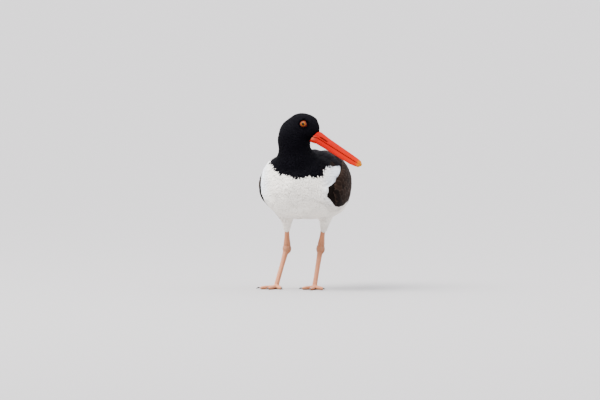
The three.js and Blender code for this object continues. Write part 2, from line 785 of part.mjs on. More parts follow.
const wholeFlesh = joined([torsoSolid(0), neckSolid(0), headSolid()]);
const bothEyes = joined([eyeBall(1, GAP), eyeBall(-1, GAP)]);
const overHeadCut = halfSpace(headCut.point, headCut.normal, GAP / 2);
const underHeadCut = halfSpace(headCut.point, headCut.normal.clone().negate(), GAP / 2);
const overNeckCut = halfSpace(neckCut.point, neckCut.normal, GAP / 2);
const underNeckCut = halfSpace(neckCut.point, neckCut.normal.clone().negate(), GAP / 2);

addNode(
  "head",
  joined([wholeFlesh.intersect(overHeadCut), lids(1), lids(-1)]).subtract(bothEyes),
  "black",
);
addNode("neck", wholeFlesh.intersect(underHeadCut).intersect(overNeckCut), "black");
addNode("torso", wholeFlesh.intersect(underNeckCut), "white");
addNode("eye_left", eyeBall(1, 0), "eye");
addNode("eye_right", eyeBall(-1, 0), "eye");

const face = solid(skullGeometry(GAP)).add(neckSolid(GAP));
const upperBill = mandible(true).subtract(nostrilGroove(1)).subtract(nostrilGroove(-1));
addNode("bill_upper", placed(upperBill, billFrame).subtract(face), "bill");
addNode("bill_lower", placed(mandible(false), billFrame).subtract(face), "bill");

addNode("wing_left", wingSolid(1), "brown", SIMPLIFY.wing);
addNode("wing_right", wingSolid(-1), "brown", SIMPLIFY.wing);
addNode("tail", tailSolid(), "black", SIMPLIFY.tail);

for (const [side, leg] of Object.entries(legs)) {
  addNode("thigh_" + side, thighSolid(leg, 0).subtract(torsoSolid(GAP)), "white");
  const bareLeg = legSolid(leg).subtract(thighSolid(leg, GAP)).intersect(aboveFoot);
  addNode("leg_" + side, bareLeg, "leg");
  addNode("foot_" + side, footSolid(leg), "leg");
  for (const toe of Object.keys(TOE_LENGTHS))
    addNode(
      "claw_" + side + "_" + toe,
      clawSolid(leg, toe).subtract(toeSolid(leg, toe, GAP)),
      "claw",
    );
}

// The origin lies on the floor under the middle of the bird's box.
const box = new THREE.Box3().setFromObject(bird);
const middle = box.getCenter(new THREE.Vector3());
bird.traverse((mesh) => mesh.geometry?.translate(-middle.x, -middle.y, -box.min.z));

export default bird;
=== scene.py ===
# %% [markdown]
# A standing American oystercatcher, life size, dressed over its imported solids.
# The solids give the outline and the pose. Here they get one seamless skin, a coat of small
# closed feathers, long wing and tail feathers, wet eyes, a horny bill and scaly legs.

# %% Load the frame
import json
import math

import bpy
import numpy as np
from mathutils import Matrix, Vector
from mathutils.bvhtree import BVHTree

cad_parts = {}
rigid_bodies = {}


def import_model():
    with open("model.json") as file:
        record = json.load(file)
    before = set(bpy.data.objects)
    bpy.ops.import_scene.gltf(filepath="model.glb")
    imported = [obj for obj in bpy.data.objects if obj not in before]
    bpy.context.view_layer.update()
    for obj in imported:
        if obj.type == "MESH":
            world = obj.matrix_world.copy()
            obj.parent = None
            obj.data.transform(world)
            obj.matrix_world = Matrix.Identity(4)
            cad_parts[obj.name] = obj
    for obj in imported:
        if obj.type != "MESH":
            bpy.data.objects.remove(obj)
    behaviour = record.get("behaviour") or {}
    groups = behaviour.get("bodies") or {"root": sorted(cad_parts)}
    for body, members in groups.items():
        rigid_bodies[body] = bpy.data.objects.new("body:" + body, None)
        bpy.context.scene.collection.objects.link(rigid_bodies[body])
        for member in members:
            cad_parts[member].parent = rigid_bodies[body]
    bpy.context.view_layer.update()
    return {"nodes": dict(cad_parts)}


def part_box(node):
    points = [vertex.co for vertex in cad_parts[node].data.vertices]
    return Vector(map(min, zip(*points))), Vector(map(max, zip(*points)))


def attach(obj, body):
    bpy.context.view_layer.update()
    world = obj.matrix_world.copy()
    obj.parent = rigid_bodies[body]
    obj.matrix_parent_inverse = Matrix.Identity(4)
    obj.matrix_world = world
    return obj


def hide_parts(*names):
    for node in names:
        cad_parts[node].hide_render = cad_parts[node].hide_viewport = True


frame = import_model()
MM = 0.001
print("solids:", len(frame["nodes"]))

# %% [markdown]
# The solids stand on the middle of their own box. It is easier to think in the bird's own
# frame, in millimetres: zero lies on the floor under the wing roots, the breast faces -Y and the
# bird's left is +X. The torso is the same on both sides, so its box tells where that zero went.

# %% The bird's own frame
TORSO_FRONT = -77.0
torso_low, torso_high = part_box("torso")
ZERO = np.array([(torso_low[0] + torso_high[0]) / 2, torso_low[1] - TORSO_FRONT * MM, 0.0])


def to_scene(points):
    return np.asarray(points) * MM + ZERO


def to_bird(points):
    return (np.asarray(points) - ZERO) / MM


def unit(vectors):
    size = np.linalg.norm(vectors, axis=-1, keepdims=True)
    return vectors / np.maximum(size, 1e-9)


def smooth_step(low, high, x):
    t = np.clip((x - low) / (high - low), 0, 1)
    return t * t * (3 - 2 * t)


print("bird's zero in the scene:", ZERO.round(4))

# %% [markdown]
# The picture was taken from far off with a long lens, a little to the bird's left and hardly
# above its eye line. One pixel is 1.42 mm at the bird, and the frame is 600 pixels wide, so the
# distance follows from the lens. A long lens keeps the near and far foot the same size.

# %% Camera
MM_PER_PIXEL = 1.42
FRAME_PIXELS = 600
AZIMUTH = math.radians(14)
ELEVATION = math.radians(2)
LENS = 400.0
SENSOR = 36.0
CENTRE_RIGHT = -9.2
CENTRE_UP = 127.8
distance = MM_PER_PIXEL * FRAME_PIXELS * LENS / SENSOR * MM
to_right = Vector((math.cos(AZIMUTH), math.sin(AZIMUTH), 0))
to_camera = Vector(
    (
        math.sin(AZIMUTH) * math.cos(ELEVATION),
        -math.cos(AZIMUTH) * math.cos(ELEVATION),
        math.sin(ELEVATION),
    )
)
aim = Vector(ZERO) + to_right * CENTRE_RIGHT * MM + Vector((0, 0, CENTRE_UP * MM))
camera_data = bpy.data.cameras.new("camera")
camera_data.lens = LENS
camera_data.sensor_width = SENSOR
camera_data.clip_end = 100
camera = bpy.data.objects.new("camera", camera_data)
bpy.context.collection.objects.link(camera)
camera.location = aim + to_camera * distance
camera.rotation_euler = to_camera.to_track_quat("Z", "Y").to_euler()
bpy.context.scene.camera = camera
print("camera distance:", round(distance, 2), "height:", round(camera.location.z, 3))

# %% [markdown]
# The floor is a plain pale sheet, so wide that its edge never shows. The light is soft and high:
# a wide veiled sun on the bird's right, a big panel beside it, and a pale world that is brightest
# overhead and fills the shadows. The floor throws some of that light back up on the belly.


# %% Floor
FLOOR_GREY = (0.325, 0.314, 0.312)


def plain_material(name, color, roughness):
    material = bpy.data.materials.new(name)
    material.use_nodes = True
    shader = material.node_tree.nodes["Principled BSDF"]
    shader.inputs["Base Color"].default_value = (*color, 1)
    shader.inputs["Roughness"].default_value = roughness
    return material


bpy.ops.object.select_all(action="DESELECT")
bpy.ops.mesh.primitive_plane_add(size=600, location=(0, 0, 0))
floor = bpy.context.object
floor.name = "floor"
floor.data.materials.append(plain_material("pale_floor", FLOOR_GREY, 0.95))
print("floor side in metres:", floor.dimensions.x)

# %% Lights
BREAST_MIDDLE = Vector((0, 0, 0.13))
SKY_LOW, SKY_HIGH = 1.7, 4.4


def add_light(name, kind, place, towards, **values):
    data = bpy.data.lights.new(name, kind)
    for key, value in values.items():
        setattr(data, key, value)
    light = bpy.data.objects.new(name, data)
    bpy.context.collection.objects.link(light)
    light.location = place
    light.rotation_euler = (Vector(place) - towards).to_track_quat("Z", "Y").to_euler()


add_light(
    "sky_panel", "AREA", (-1.1, -1.3, 2.2), BREAST_MIDDLE,
    shape="DISK", size=1.6, energy=60, color=(1.0, 0.985, 0.96),
)
add_light(
    "veiled_sun", "SUN", (-0.55, -0.45, 1.0), Vector((0, 0, 0)),
    energy=6.2, angle=math.radians(50), color=(1.0, 0.98, 0.95),
)
world = bpy.data.worlds.new("pale_sky")
world.use_nodes = True
sky = world.node_tree
sky.nodes["Background"].inputs["Color"].default_value = (0.86, 0.87, 0.92, 1)
direction = sky.nodes.new("ShaderNodeTexCoord")
split = sky.nodes.new("ShaderNodeSeparateXYZ")
brighten = sky.nodes.new("ShaderNodeMapRange")
brighten.inputs["From Min"].default_value = 0.05
brighten.inputs["From Max"].default_value = 0.8
brighten.inputs["To Min"].default_value = SKY_LOW
brighten.inputs["To Max"].default_value = SKY_HIGH
sky.links.new(direction.outputs["Generated"], split.inputs[0])
sky.links.new(split.outputs["Z"], brighten.inputs["Value"])
sky.links.new(brighten.outputs["Result"], sky.nodes["Background"].inputs["Strength"])
bpy.context.scene.world = world

# %% [markdown]
# The head is turned hard to the bird's left and tips down a little. Its frame is rebuilt here
# from the same sizes as the solids: x to the head's left, y backwards and z up. The bill has a
# frame of its own that droops a bit more.

# %% Head and bill frames
SKULL = Vector((11.5, -56, 232.5))
TURN_LEFT, TIP_DOWN, BILL_DROOP = math.radians(71), math.radians(20), math.radians(8)
HEAD_TURN = Matrix.Rotation(TURN_LEFT, 3, "Z") @ Matrix.Rotation(TIP_DOWN, 3, "X")
BILL_TURN = HEAD_TURN @ Matrix.Rotation(BILL_DROOP, 3, "X")
BILL_ROOT = np.array(SKULL + HEAD_TURN @ Vector((0, -12.4, -3.2)))
BILL_LENGTH = 97.0
BILL_AXES = np.array(BILL_TURN)
FACE = np.array(SKULL + HEAD_TURN @ Vector((0, -25, -3)))
EYE_CENTRES = {}
for side in ("left", "right"):
    low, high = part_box("eye_" + side)
    EYE_CENTRES[side] = to_bird((np.array(low) + np.array(high)) / 2)
print("face point:", FACE.round(1))

# %% [markdown]
# The markings are one formula of place, so that skin and feathers agree. A black hood covers
# head, neck and upper breast and ends in a bib with a low point. The back is dark brown. The
# rest is white, with a white spur in front of each wing.

# %% Markings
BLACK = np.array([0.0024, 0.0022, 0.0034])
BROWN = np.array([0.0135, 0.0080, 0.0058])
WHITE = np.array([0.86, 0.82, 0.745])
# A bluer white, painted on the breast sides and spurs as painted sky light.
SKY_LIT_WHITE = np.array([0.86, 0.92, 1.0])
# The lower edge of the bib: place across the breast, and height of the feathers' roots.
BIB_LINE = np.array(
    [[-60, 218], [-41, 187], [-20, 171], [-5, 167.5], [4, 163.5], [17, 166.5], [36, 166],
     [38, 180], [41, 235]]
)
HOOD_BACK = -24.0
NECK_FOOT, NECK_FOOT_BACK = 192.0, -20.0
NECK_HEIGHT = 203.0
SPUR_TOP = 178.0
SHOULDER_BACK, SHOULDER_SIDE = -16.0, 42.0
MANTLE_FRONT = {"left": -52.0, "right": -26.0}
MANTLE_BACK = 78.0
LOWER_BACK, LOWER_BACK_FRONT = 166.0, 40.0


def zone(p):
    """0 for black, 1 for white and 2 for brown, at places in the bird's frame."""
    x, y, z = p.T
    bib = (z > np.interp(x, *BIB_LINE.T)) & (y < HOOD_BACK)
    neck = (z > NECK_HEIGHT) | ((z > NECK_FOOT) & (y < NECK_FOOT_BACK))
    shoulder = (z > SPUR_TOP) & (y < SHOULDER_BACK) & (x > 0) & (x < SHOULDER_SIDE)
    mantle_front = np.where(x > 0, MANTLE_FRONT["left"], MANTLE_FRONT["right"])
    mantle = (z > SPUR_TOP) & (y > mantle_front)
    lower_back = (z > LOWER_BACK) & (y > LOWER_BACK_FRONT)
    back = (mantle | lower_back) & (y < MANTLE_BACK)
    return np.where(bib | neck | shoulder, 0, np.where(back, 2, 1))


ZONE_COLOR = np.array([BLACK, WHITE, BROWN])
print("zones ready")

# %% [markdown]
# The skin is the bird without its coat. Copies of the flesh solids are merged, grown a hair so
# that they overlap, joined, remeshed as one closed surface and smoothed. Then the surface is drawn
# in by the coat's depth, so that feathers of the right length end where the solids do. Last it is
# pushed out a little at the crown and the nape, and the thighs are made slimmer and longer.


# %% Helpers for meshes
def deselect_all():
    bpy.ops.object.select_all(action="DESELECT")


def activate(piece):
    deselect_all()
    piece.select_set(True)
    bpy.context.view_layer.objects.active = piece


def edit(piece, step, **values):
    """Runs one step of edit mode on everything in a piece."""
    activate(piece)
    bpy.ops.object.mode_set(mode="EDIT")
    bpy.ops.mesh.select_all(action="SELECT")
    step(**values)
    bpy.ops.object.mode_set(mode="OBJECT")


def smooth_shading(piece):
    activate(piece)
    bpy.ops.object.shade_smooth()


def apply_modifier(piece, kind, **values):
    activate(piece)
    modifier = piece.modifiers.new(kind.lower(), kind)
    for key, value in values.items():
        setattr(modifier, key, value)
    bpy.ops.object.modifier_apply(modifier=modifier.name)


def copy_of(name, nodes, grown):
    """One object made of merged copies of CAD nodes, each grown outwards by some distance."""
    copies = []
    for node in nodes:
        piece = frame["nodes"][node].copy()
        piece.data = piece.data.copy()
        bpy.context.collection.objects.link(piece)
        edit(piece, bpy.ops.mesh.remove_doubles, threshold=0.00001)
        if grown:
            apply_modifier(piece, "DISPLACE", strength=grown, mid_level=0.0)
        copies.append(piece)
    activate(copies[0])
    for piece in copies:
        piece.select_set(True)
    if len(copies) > 1:
        bpy.ops.object.join()
    whole = bpy.context.object
    whole.name = name
    whole.data.name = name
    whole.data.materials.clear()
    return whole


def point_values(piece, value):
    """The co or the normal of every point, as it is stored."""
    flat = np.empty(len(piece.data.vertices) * 3)
    piece.data.vertices.foreach_get(value, flat)
    return flat.reshape(-1, 3)


def places_of(piece):
    return to_bird(point_values(piece, "co"))


def move_to(piece, places):
    piece.data.vertices.foreach_set("co", to_scene(places).ravel())
    piece.data.update()


def paint(piece, colors):
    layer = piece.data.color_attributes.new("tint", "FLOAT_COLOR", "POINT")
    rgba = np.ones((len(colors), 4))
    rgba[:, :3] = colors
    layer.data.foreach_set("color", rgba.ravel())


# %% Skin
COAT_DEPTH = 1.7
FLESH = ["torso", "neck", "head", "thigh_left", "thigh_right"]
skin = copy_of("skin", FLESH, 0.4 * MM)
apply_modifier(skin, "REMESH", mode="VOXEL", voxel_size=1.15 * MM)
apply_modifier(skin, "SMOOTH", factor=0.5, iterations=14)
apply_modifier(skin, "DISPLACE", strength=-(COAT_DEPTH + 0.3) * MM, mid_level=0.0)
smooth_shading(skin)
skin_places = places_of(skin)
skin_normals = point_values(skin, "normal")
print("skin points:", len(skin_places))

# %% Crown, nape and thighs
CROWN = np.array([-13.5, -50.5, 242.0])
NAPE = np.array([-25.9, -54.9, 216.0])
SWELL_REACH = 13.0
THIGH_SLIMMER = 0.2
THIGH_LONGER = 3.5
THIGH_END = 92.0
for centre, amount in ((CROWN, 0.8), (NAPE, 1.8)):
    from_centre = np.linalg.norm(skin_places - centre, axis=1)
    swell = amount * np.exp(-((from_centre / SWELL_REACH) ** 2))
    skin_places = skin_places + skin_normals * swell[:, None]
for sign in (1, -1):
    own = (skin_places[:, 0] * sign > 0) * smooth_step(112, 101, skin_places[:, 2])
    thigh_end = skin_places[skin_places[:, 2] < THIGH_END]
    axis = thigh_end[thigh_end[:, 0] * sign > 0, :2].mean(0)
    skin_places[:, :2] -= (skin_places[:, :2] - axis) * (THIGH_SLIMMER * own)[:, None]
skin_places[:, 2] -= THIGH_LONGER * smooth_step(98, 87, skin_places[:, 2])
move_to(skin, skin_places)
paint(skin, ZONE_COLOR[zone(skin_places)] * 0.9)
skin_tree = BVHTree.FromPolygons(
    [Vector(p) for p in skin_places],
    [tuple(f.vertices) for f in skin.data.polygons],
)
print("skin faces:", len(skin.data.polygons))

# %% [markdown]
# Each feather of the coat needs a place on an unwrap of this skin, so that a bake gives it its
# own small patch. Smart projection cuts the skin into charts by the way its faces look.

# %% Unwrap of the skin
edit(skin, bpy.ops.uv.smart_project, angle_limit=math.radians(60), island_margin=0.002)
skin.data.uv_layers[0].name = "OFBake"
loop_uv = np.empty(len(skin.data.loops) * 2)
skin.data.uv_layers["OFBake"].data.foreach_get("uv", loop_uv)
loop_vertex = np.empty(len(skin.data.loops), dtype=np.int64)
skin.data.loops.foreach_get("vertex_index", loop_vertex)
skin_uv = np.zeros((len(skin_places), 2))
skin_uv[loop_vertex] = loop_uv.reshape(-1, 2)
print("unwrap corners:", len(loop_vertex))

# %% [markdown]
# Feathers shine because of their barbs, fine ribs that leave the shaft at a slant. One node
# group turns a feather's own lengthwise and crosswise coordinates into a height for a bump. It
# also gives a slow change of value that keeps a large patch of one color alive. All surfaces that
# grow share two helpers: one starts a material whose color is painted on the mesh, and the other
# varies that color by a value and raises a bump from a height.


# %% Painted materials
def add_node(tree, kind, **values):
    node = tree.nodes.new(kind)
    for key, value in values.items():
        setattr(node, key, value)
    return node


def painted_material(name, roughness):
    """A new material, its nodes, its main shader and the node that reads the painted color."""
    material = bpy.data.materials.new(name)
    material.use_nodes = True
    tree = material.node_tree
    shader = tree.nodes["Principled BSDF"]
    shader.inputs["Roughness"].default_value = roughness
    tint = add_node(tree, "ShaderNodeAttribute", attribute_name="tint")
    return material, tree, shader, tint


def vary_and_bump(tree, shader, tint, value, values, shades, height, strength, depth):
    """Scales the painted color by a value between two shades, and bumps the surface."""
    shade = add_node(tree, "ShaderNodeMapRange")
    shade.inputs["From Min"].default_value, shade.inputs["From Max"].default_value = values
    shade.inputs["To Min"].default_value, shade.inputs["To Max"].default_value = shades
    mix = add_node(tree, "ShaderNodeVectorMath", operation="SCALE")
    bump = add_node(tree, "ShaderNodeBump")
    bump.inputs["Strength"].default_value = strength
    bump.inputs["Distance"].default_value = depth
    link = tree.links.new
    link(value, shade.inputs["Value"])
    link(tint.outputs["Color"], mix.inputs[0])
    link(shade.outputs["Result"], mix.inputs["Scale"])
    link(mix.outputs[0], shader.inputs["Base Color"])
    link(height, bump.inputs["Height"])
    link(bump.outputs["Normal"], shader.inputs["Normal"])


print("helpers for painted materials ready")


# %% Barbs
BARBS_PER_LENGTH = 30


def barb_group():
    tree = bpy.data.node_groups.new("barbs", "ShaderNodeTree")
    tree.interface.new_socket("Scale", in_out="INPUT", socket_type="NodeSocketFloat")
    tree.interface.new_socket("Height", in_out="OUTPUT", socket_type="NodeSocketFloat")
    tree.interface.new_socket("Value", in_out="OUTPUT", socket_type="NodeSocketFloat")
    ends = add_node(tree, "NodeGroupInput")
    out = add_node(tree, "NodeGroupOutput")
    vane = add_node(tree, "ShaderNodeUVMap", uv_map="Vane")
    split = add_node(tree, "ShaderNodeSeparateXYZ")
    bend = add_node(tree, "ShaderNodeMath", operation="ABSOLUTE")
    slant = add_node(tree, "ShaderNodeMath", operation="MULTIPLY_ADD")
    slant.inputs[1].default_value = -0.9
    times = add_node(tree, "ShaderNodeMath", operation="MULTIPLY")
    wave = add_node(tree, "ShaderNodeMath", operation="SINE")
    place = add_node(tree, "ShaderNodeTexCoord")
    noise = add_node(tree, "ShaderNodeTexNoise")
    noise.inputs["Scale"].default_value = 60
    noise.inputs["Detail"].default_value = 4
    link = tree.links.new
    link(vane.outputs["UV"], split.inputs[0])
    link(split.outputs["Y"], bend.inputs[0])
    link(bend.outputs[0], slant.inputs[0])
    link(split.outputs["X"], slant.inputs[2])
    link(slant.outputs[0], times.inputs[0])
    link(ends.outputs["Scale"], times.inputs[1])
    link(times.outputs[0], wave.inputs[0])
    link(wave.outputs[0], out.inputs["Height"])
    link(place.outputs["Object"], noise.inputs["Vector"])
    link(noise.outputs["Fac"], out.inputs["Value"])
    return tree


BARBS = barb_group()


def plumage_material(name, roughness, specular, barb_depth):
    material, tree, shader, tint = painted_material(name, roughness)
    shader.inputs["Specular IOR Level"].default_value = specular
    barbs = add_node(tree, "ShaderNodeGroup", node_tree=BARBS)
    barbs.inputs["Scale"].default_value = BARBS_PER_LENGTH * math.tau
    vary_and_bump(
        tree, shader, tint, barbs.outputs["Value"], (0.3, 0.7), (0.86, 1.1),
        barbs.outputs["Height"], barb_depth, 0.0001,
    )
    return material


black_plumage = plumage_material("black_plumage", roughness=0.6, specular=0.015, barb_depth=0.5)
white_plumage = plumage_material("white_plumage", roughness=0.85, specular=0.1, barb_depth=0.25)
brown_plumage = plumage_material("brown_plumage", roughness=0.65, specular=0.015, barb_depth=0.6)
skin.data.materials.append(black_plumage)
PLUMAGE = [black_plumage, white_plumage, brown_plumage]
SLOTS = ["black_plumage", "white_plumage", "brown_plumage"]
print("plumage materials:", len(PLUMAGE))

# %% [markdown]
# A coat of eighty-five thousand feathers can't be modelled one by one. Each is the same closed
# leaf of ten points and sixteen triangles, and arrays place them all at once: a root in the skin,
# two middle rows and a tip that lies on the skin further along the lie of the coat. Each leaf has
# two maps: OFBake puts it at its root's place on the unwrap, and Vane runs along its own length.


# %% Joined meshes from arrays
NO_TRIANGLES = np.zeros((0, 3), dtype=np.int64)
PATCH = 0.003


def joined_mesh(name, places, triangles, quads, tints, bake_uv, vane_uv):
    """Builds one mesh object from arrays of places and faces, with its colors and two maps."""
    mesh = bpy.data.meshes.new(name)
    corners = np.concatenate([triangles.ravel(), quads.ravel()])
    sizes = np.concatenate([np.full(len(triangles), 3), np.full(len(quads), 4)])
    starts = np.concatenate([[0], np.cumsum(sizes)[:-1]])
    mesh.vertices.add(len(places))
    mesh.vertices.foreach_set("co", to_scene(places).ravel())
    mesh.loops.add(len(corners))
    mesh.loops.foreach_set("vertex_index", corners.astype(np.int32))
    mesh.polygons.add(len(sizes))
    mesh.polygons.foreach_set("loop_start", starts.astype(np.int32))
    mesh.update(calc_edges=True)
    mesh.polygons.foreach_set("use_smooth", np.ones(len(sizes), dtype=bool))
    for map_name, uv in (("OFBake", bake_uv), ("Vane", vane_uv)):
        layer = mesh.uv_layers.new(name=map_name)
        layer.data.foreach_set("uv", uv[corners].ravel())
    piece = bpy.data.objects.new(name, mesh)
    bpy.context.collection.objects.link(piece)
    paint(piece, tints)
    return piece


print("patch of one feather on the map:", PATCH)


# %% Leaf feathers
LEAF_TRIANGLES = np.array(
    [[0, 1, 2], [0, 2, 3], [4, 7, 5], [5, 7, 6], [0, 8, 1], [0, 3, 8], [4, 9, 7], [9, 6, 7]]
)
LEAF_QUADS = np.array([[1, 4, 5, 2], [2, 5, 6, 3], [1, 8, 9, 4], [8, 3, 6, 9]])
LEAF_POINTS = 10
LEAF_SHARES = (0.34, 0.36, 0.30)
LEAF_ROOT_DEPTH = 0.4


def on_skin(places, tree):
    """The nearest skin places and their outward normals."""
    found = [tree.find_nearest(Vector(p)) for p in places]
    near = np.array([f[0][:] for f in found])
    normal = np.array([f[1][:] for f in found])
    return near, normal


def along_skin(directions, normals):
    return unit(directions - normals * np.sum(directions * normals, axis=1, keepdims=True))


def leaves(name, roots, normals, flow, length, width, lift, tints, uv, tree):
    """One mesh of leaf feathers rooted at places on the skin."""
    heights = [-LEAF_ROOT_DEPTH * np.ones(len(roots)), 0.75 * lift, lift, 1.05 * lift]
    spine, ups = [roots], [normals]
    way = along_skin(flow(roots), normals)
    for share in LEAF_SHARES:
        near, up = on_skin(spine[-1] + way * (length * share)[:, None], tree)
        spine.append(near)
        ups.append(up)
        way = along_skin(0.6 * way + 0.4 * along_skin(flow(near), up), up)
    line = [p + n * h[:, None] for p, n, h in zip(spine, ups, heights)]
    ways = [unit(line[min(i + 1, 3)] - line[max(i - 1, 0)]) for i in range(4)]
    sides = [unit(np.cross(n, w)) for n, w in zip(ups, ways)]
    half = width[:, None] / 2
    crown = 0.12 * width[:, None]
    under = 0.10 * width[:, None] + 0.1
    points = np.stack(
        [
            line[0],
            line[1] - sides[1] * half * 0.85,
            line[1] + ups[1] * crown,
            line[1] + sides[1] * half * 0.85,
            line[2] - sides[2] * half,
            line[2] + ups[2] * crown,
            line[2] + sides[2] * half,
            line[3],
            line[1] - ups[1] * under,
            line[2] - ups[2] * under,
        ],
        axis=1,
    )
    s = np.array([0, 0.34, 0.34, 0.34, 0.7, 0.7, 0.7, 1, 0.34, 0.7])
    v = np.array([0, -0.85, 0, 0.85, -1, 0, 1, 0, 0, 0])
    count = len(roots)
    base = np.arange(count)[:, None, None] * LEAF_POINTS
    triangles = (LEAF_TRIANGLES[None] + base).reshape(-1, 3)
    quads = (LEAF_QUADS[None] + base).reshape(-1, 4)
    patch = np.stack([s - 0.5, v / 2], axis=1) * PATCH
    bake_uv = (uv[:, None, :] + patch[None]).reshape(-1, 2)
    vane_uv = np.tile(np.stack([s * 0.2, v * 0.05], axis=1), (count, 1))
    color = np.repeat(tints, LEAF_POINTS, axis=0)
    return joined_mesh(name, points.reshape(-1, 3), triangles, quads, color, bake_uv, vane_uv)


print("triangles of a leaf:", len(LEAF_TRIANGLES) + 2 * len(LEAF_QUADS))

# %% [markdown]
# The lie of the coat starts at the bill and runs back over the head, down the neck, down and
# back over the breast, and straight back along flanks, belly and back. It is a formula too: a few
# directions, blended by height and by distance behind the breast.


# %% Lie of the coat
def coat_flow(p):
    """The way the coat lies at each place, not yet laid along the skin."""
    x, y, z = p.T
    from_bill = unit(p - FACE) + np.array([0, 0, -0.15])
    down_neck = np.stack([0.12 * x / 25, np.full(len(p), 0.25), np.full(len(p), -1.0)], axis=1)
    down_breast = np.stack([0.3 * x / 50, np.full(len(p), 0.55), np.full(len(p), -1.0)], axis=1)
    backwards = np.tile(np.array([0, 1.0, -0.32]), (len(p), 1))
    head = smooth_step(214, 232, z)[:, None]
    neck = (smooth_step(178, 200, z) * (1 - smooth_step(-34, -18, y)))[:, None]
    rear = smooth_step(-62, -18, y)[:, None]
    body = down_breast * (1 - rear) + backwards * rear
    leg = smooth_step(100, 92, z)[:, None]
    body = body * (1 - leg) + np.array([0, 0.1, -1.0]) * leg
    return from_bill * head + (1 - head) * (down_neck * neck + body * (1 - neck))


print("lie of the coat on the crown:", coat_flow(CROWN[None]).round(2))

# %% Sizes of the leaves
LENGTH_FROM_FACE = ([6, 16, 34, 60, 95, 130], [2.2, 3.0, 4.6, 7.0, 9.5, 11.5])
LENGTH_ON_THIGH = ([80, 92, 104], [6.5, 7.0, 10.0])
THIGH_START = 104
SIZE_STEPS = [2.2, 4.6, 11.5]


def leaf_sizes(p):
    """Length, width and lift of the feather that grows at each place."""
    height = p[:, 2]
    from_face = np.linalg.norm(p - FACE, axis=1)
    length = np.interp(from_face, *LENGTH_FROM_FACE)
    on_thigh = np.minimum(length, np.interp(height, *LENGTH_ON_THIGH))
    length = np.where(height < THIGH_START, on_thigh, length)
    width = np.interp(length, SIZE_STEPS, [1.0, 1.8, 3.4])
    lift = np.interp(length, SIZE_STEPS, [0.55, 0.95, COAT_DEPTH])
    return length, width, lift


print("leaf on the crown:", [float(size[0].round(2)) for size in leaf_sizes(CROWN[None])])

# %% [markdown]
# The folded wings lie on a surface of their own, wider than the torso and drawn in towards the
# wing tips. The solids make it from a table of rings round the body, and the feathers here have to
# lie on the same surface, so the table is repeated: one row per ring, with its place along the
# body, its centre height, half width, and height above and below the centre.


# %% Reading a table of rings
def read_table(table, x):
    """Reads rows [x, value, value...] at every x, with smooth curves between the rows."""
    x = np.asarray(x, dtype=float)
    last = len(table) - 1
    k = np.clip(np.searchsorted(table[:, 0], x, side="left") - 1, 0, last - 1)
    rows = [table[np.clip(k + i, 0, last)] for i in (-1, 0, 1, 2)]
    a, b, c, d = rows
    span = (c[..., 0] - b[..., 0])[..., None]
    t = np.clip((x - b[..., 0]) / span[..., 0], 0, 1)[..., None]
    step = c[..., 1:] - b[..., 1:]
    first, last_step = (k > 0)[..., None], (k < last - 1)[..., None]
    leaving = np.where(first, (c - a)[..., 1:] / np.maximum((c - a)[..., :1], 1e-9) * span, step)
    arriving = np.where(last_step, (d - b)[..., 1:] / np.maximum((d - b)[..., :1], 1e-9) * span, step)
    bend = t * t * (3 - 2 * t)
    value = b[..., 1:] * (1 - bend) + c[..., 1:] * bend
    return value + leaving * t * (1 - t) ** 2 - arriving * t * t * (1 - t)


print("table reader ready")

# %% Wing surface
RINGS = np.array(
    [[-77, 153, 38, 30, 33], [-58, 151, 50.5, 40, 44], [-34, 150, 57.5, 46.5, 48],
     [0, 150, 58, 49, 48.5], [35, 151, 52, 44.5, 47], [70, 153.5, 41.5, 36, 39],
     [100, 156, 32, 25.5, 27], [130, 156, 22, 18.5, 17], [165, 152.5, 13, 12, 10],
     [205, 146.5, 6, 7, 5]]
)
WING_EDGES = np.array(
    [[-58, 94, 113], [-50, 84, 119], [-40, 74, 124], [-25, 64, 126], [-12, 54, 121],
     [2, 36, 115], [25, 18, 108], [45, 12, 106], [90, 6, 104], [130, 5, 99], [205, 40, 95.0]]
)
WING_FRONT = {1: -58.0, -1: -34.0}
WING_END = 205.0
WING_THICKNESS = 3.6
WING_EDGE_THICKNESS = 0.4
SHOULDER_FULLNESS = 0.085
FLANK_FULLNESS = (0.03, 0.19)


def wing_edges(sign, y):
    """Where a wing starts and ends round the body. Breast feathers hide more of the right one."""
    y = np.asarray(y, dtype=float)
    if sign > 0:
        return np.moveaxis(read_table(WING_EDGES, y), -1, 0)
    shift = (WING_FRONT[-1] - WING_FRONT[1]) * np.clip((60 - y) / 100, 0, 1)
    top, bottom = np.moveaxis(read_table(WING_EDGES, y - shift), -1, 0)
    hidden = np.clip((10 - y) / 40, 0, 1)
    return top + 6 * hidden, bottom - 16 * hidden


def ring_place(y, turn, out):
    """A place on the ring surface: turn in degrees from the top round to the side."""
    ring = read_table(RINGS, y)
    z, side, up, down = np.moveaxis(ring, -1, 0)
    sine, cosine = np.sin(np.radians(turn)), np.cos(np.radians(turn))
    height = np.where(cosine > 0, up, down) + out
    shoulder = SHOULDER_FULLNESS * (1 - smooth_step(-30, 20, y))
    low, high = FLANK_FULLNESS
    flank = low + (high - low) * smooth_step(-40, 30, y)
    full = 1 + np.where(cosine > 0, shoulder, flank) * np.sin(2 * np.radians(turn)) ** 2
    return np.stack([(side + out) * sine * full, y, z + height * cosine * full], axis=-1)


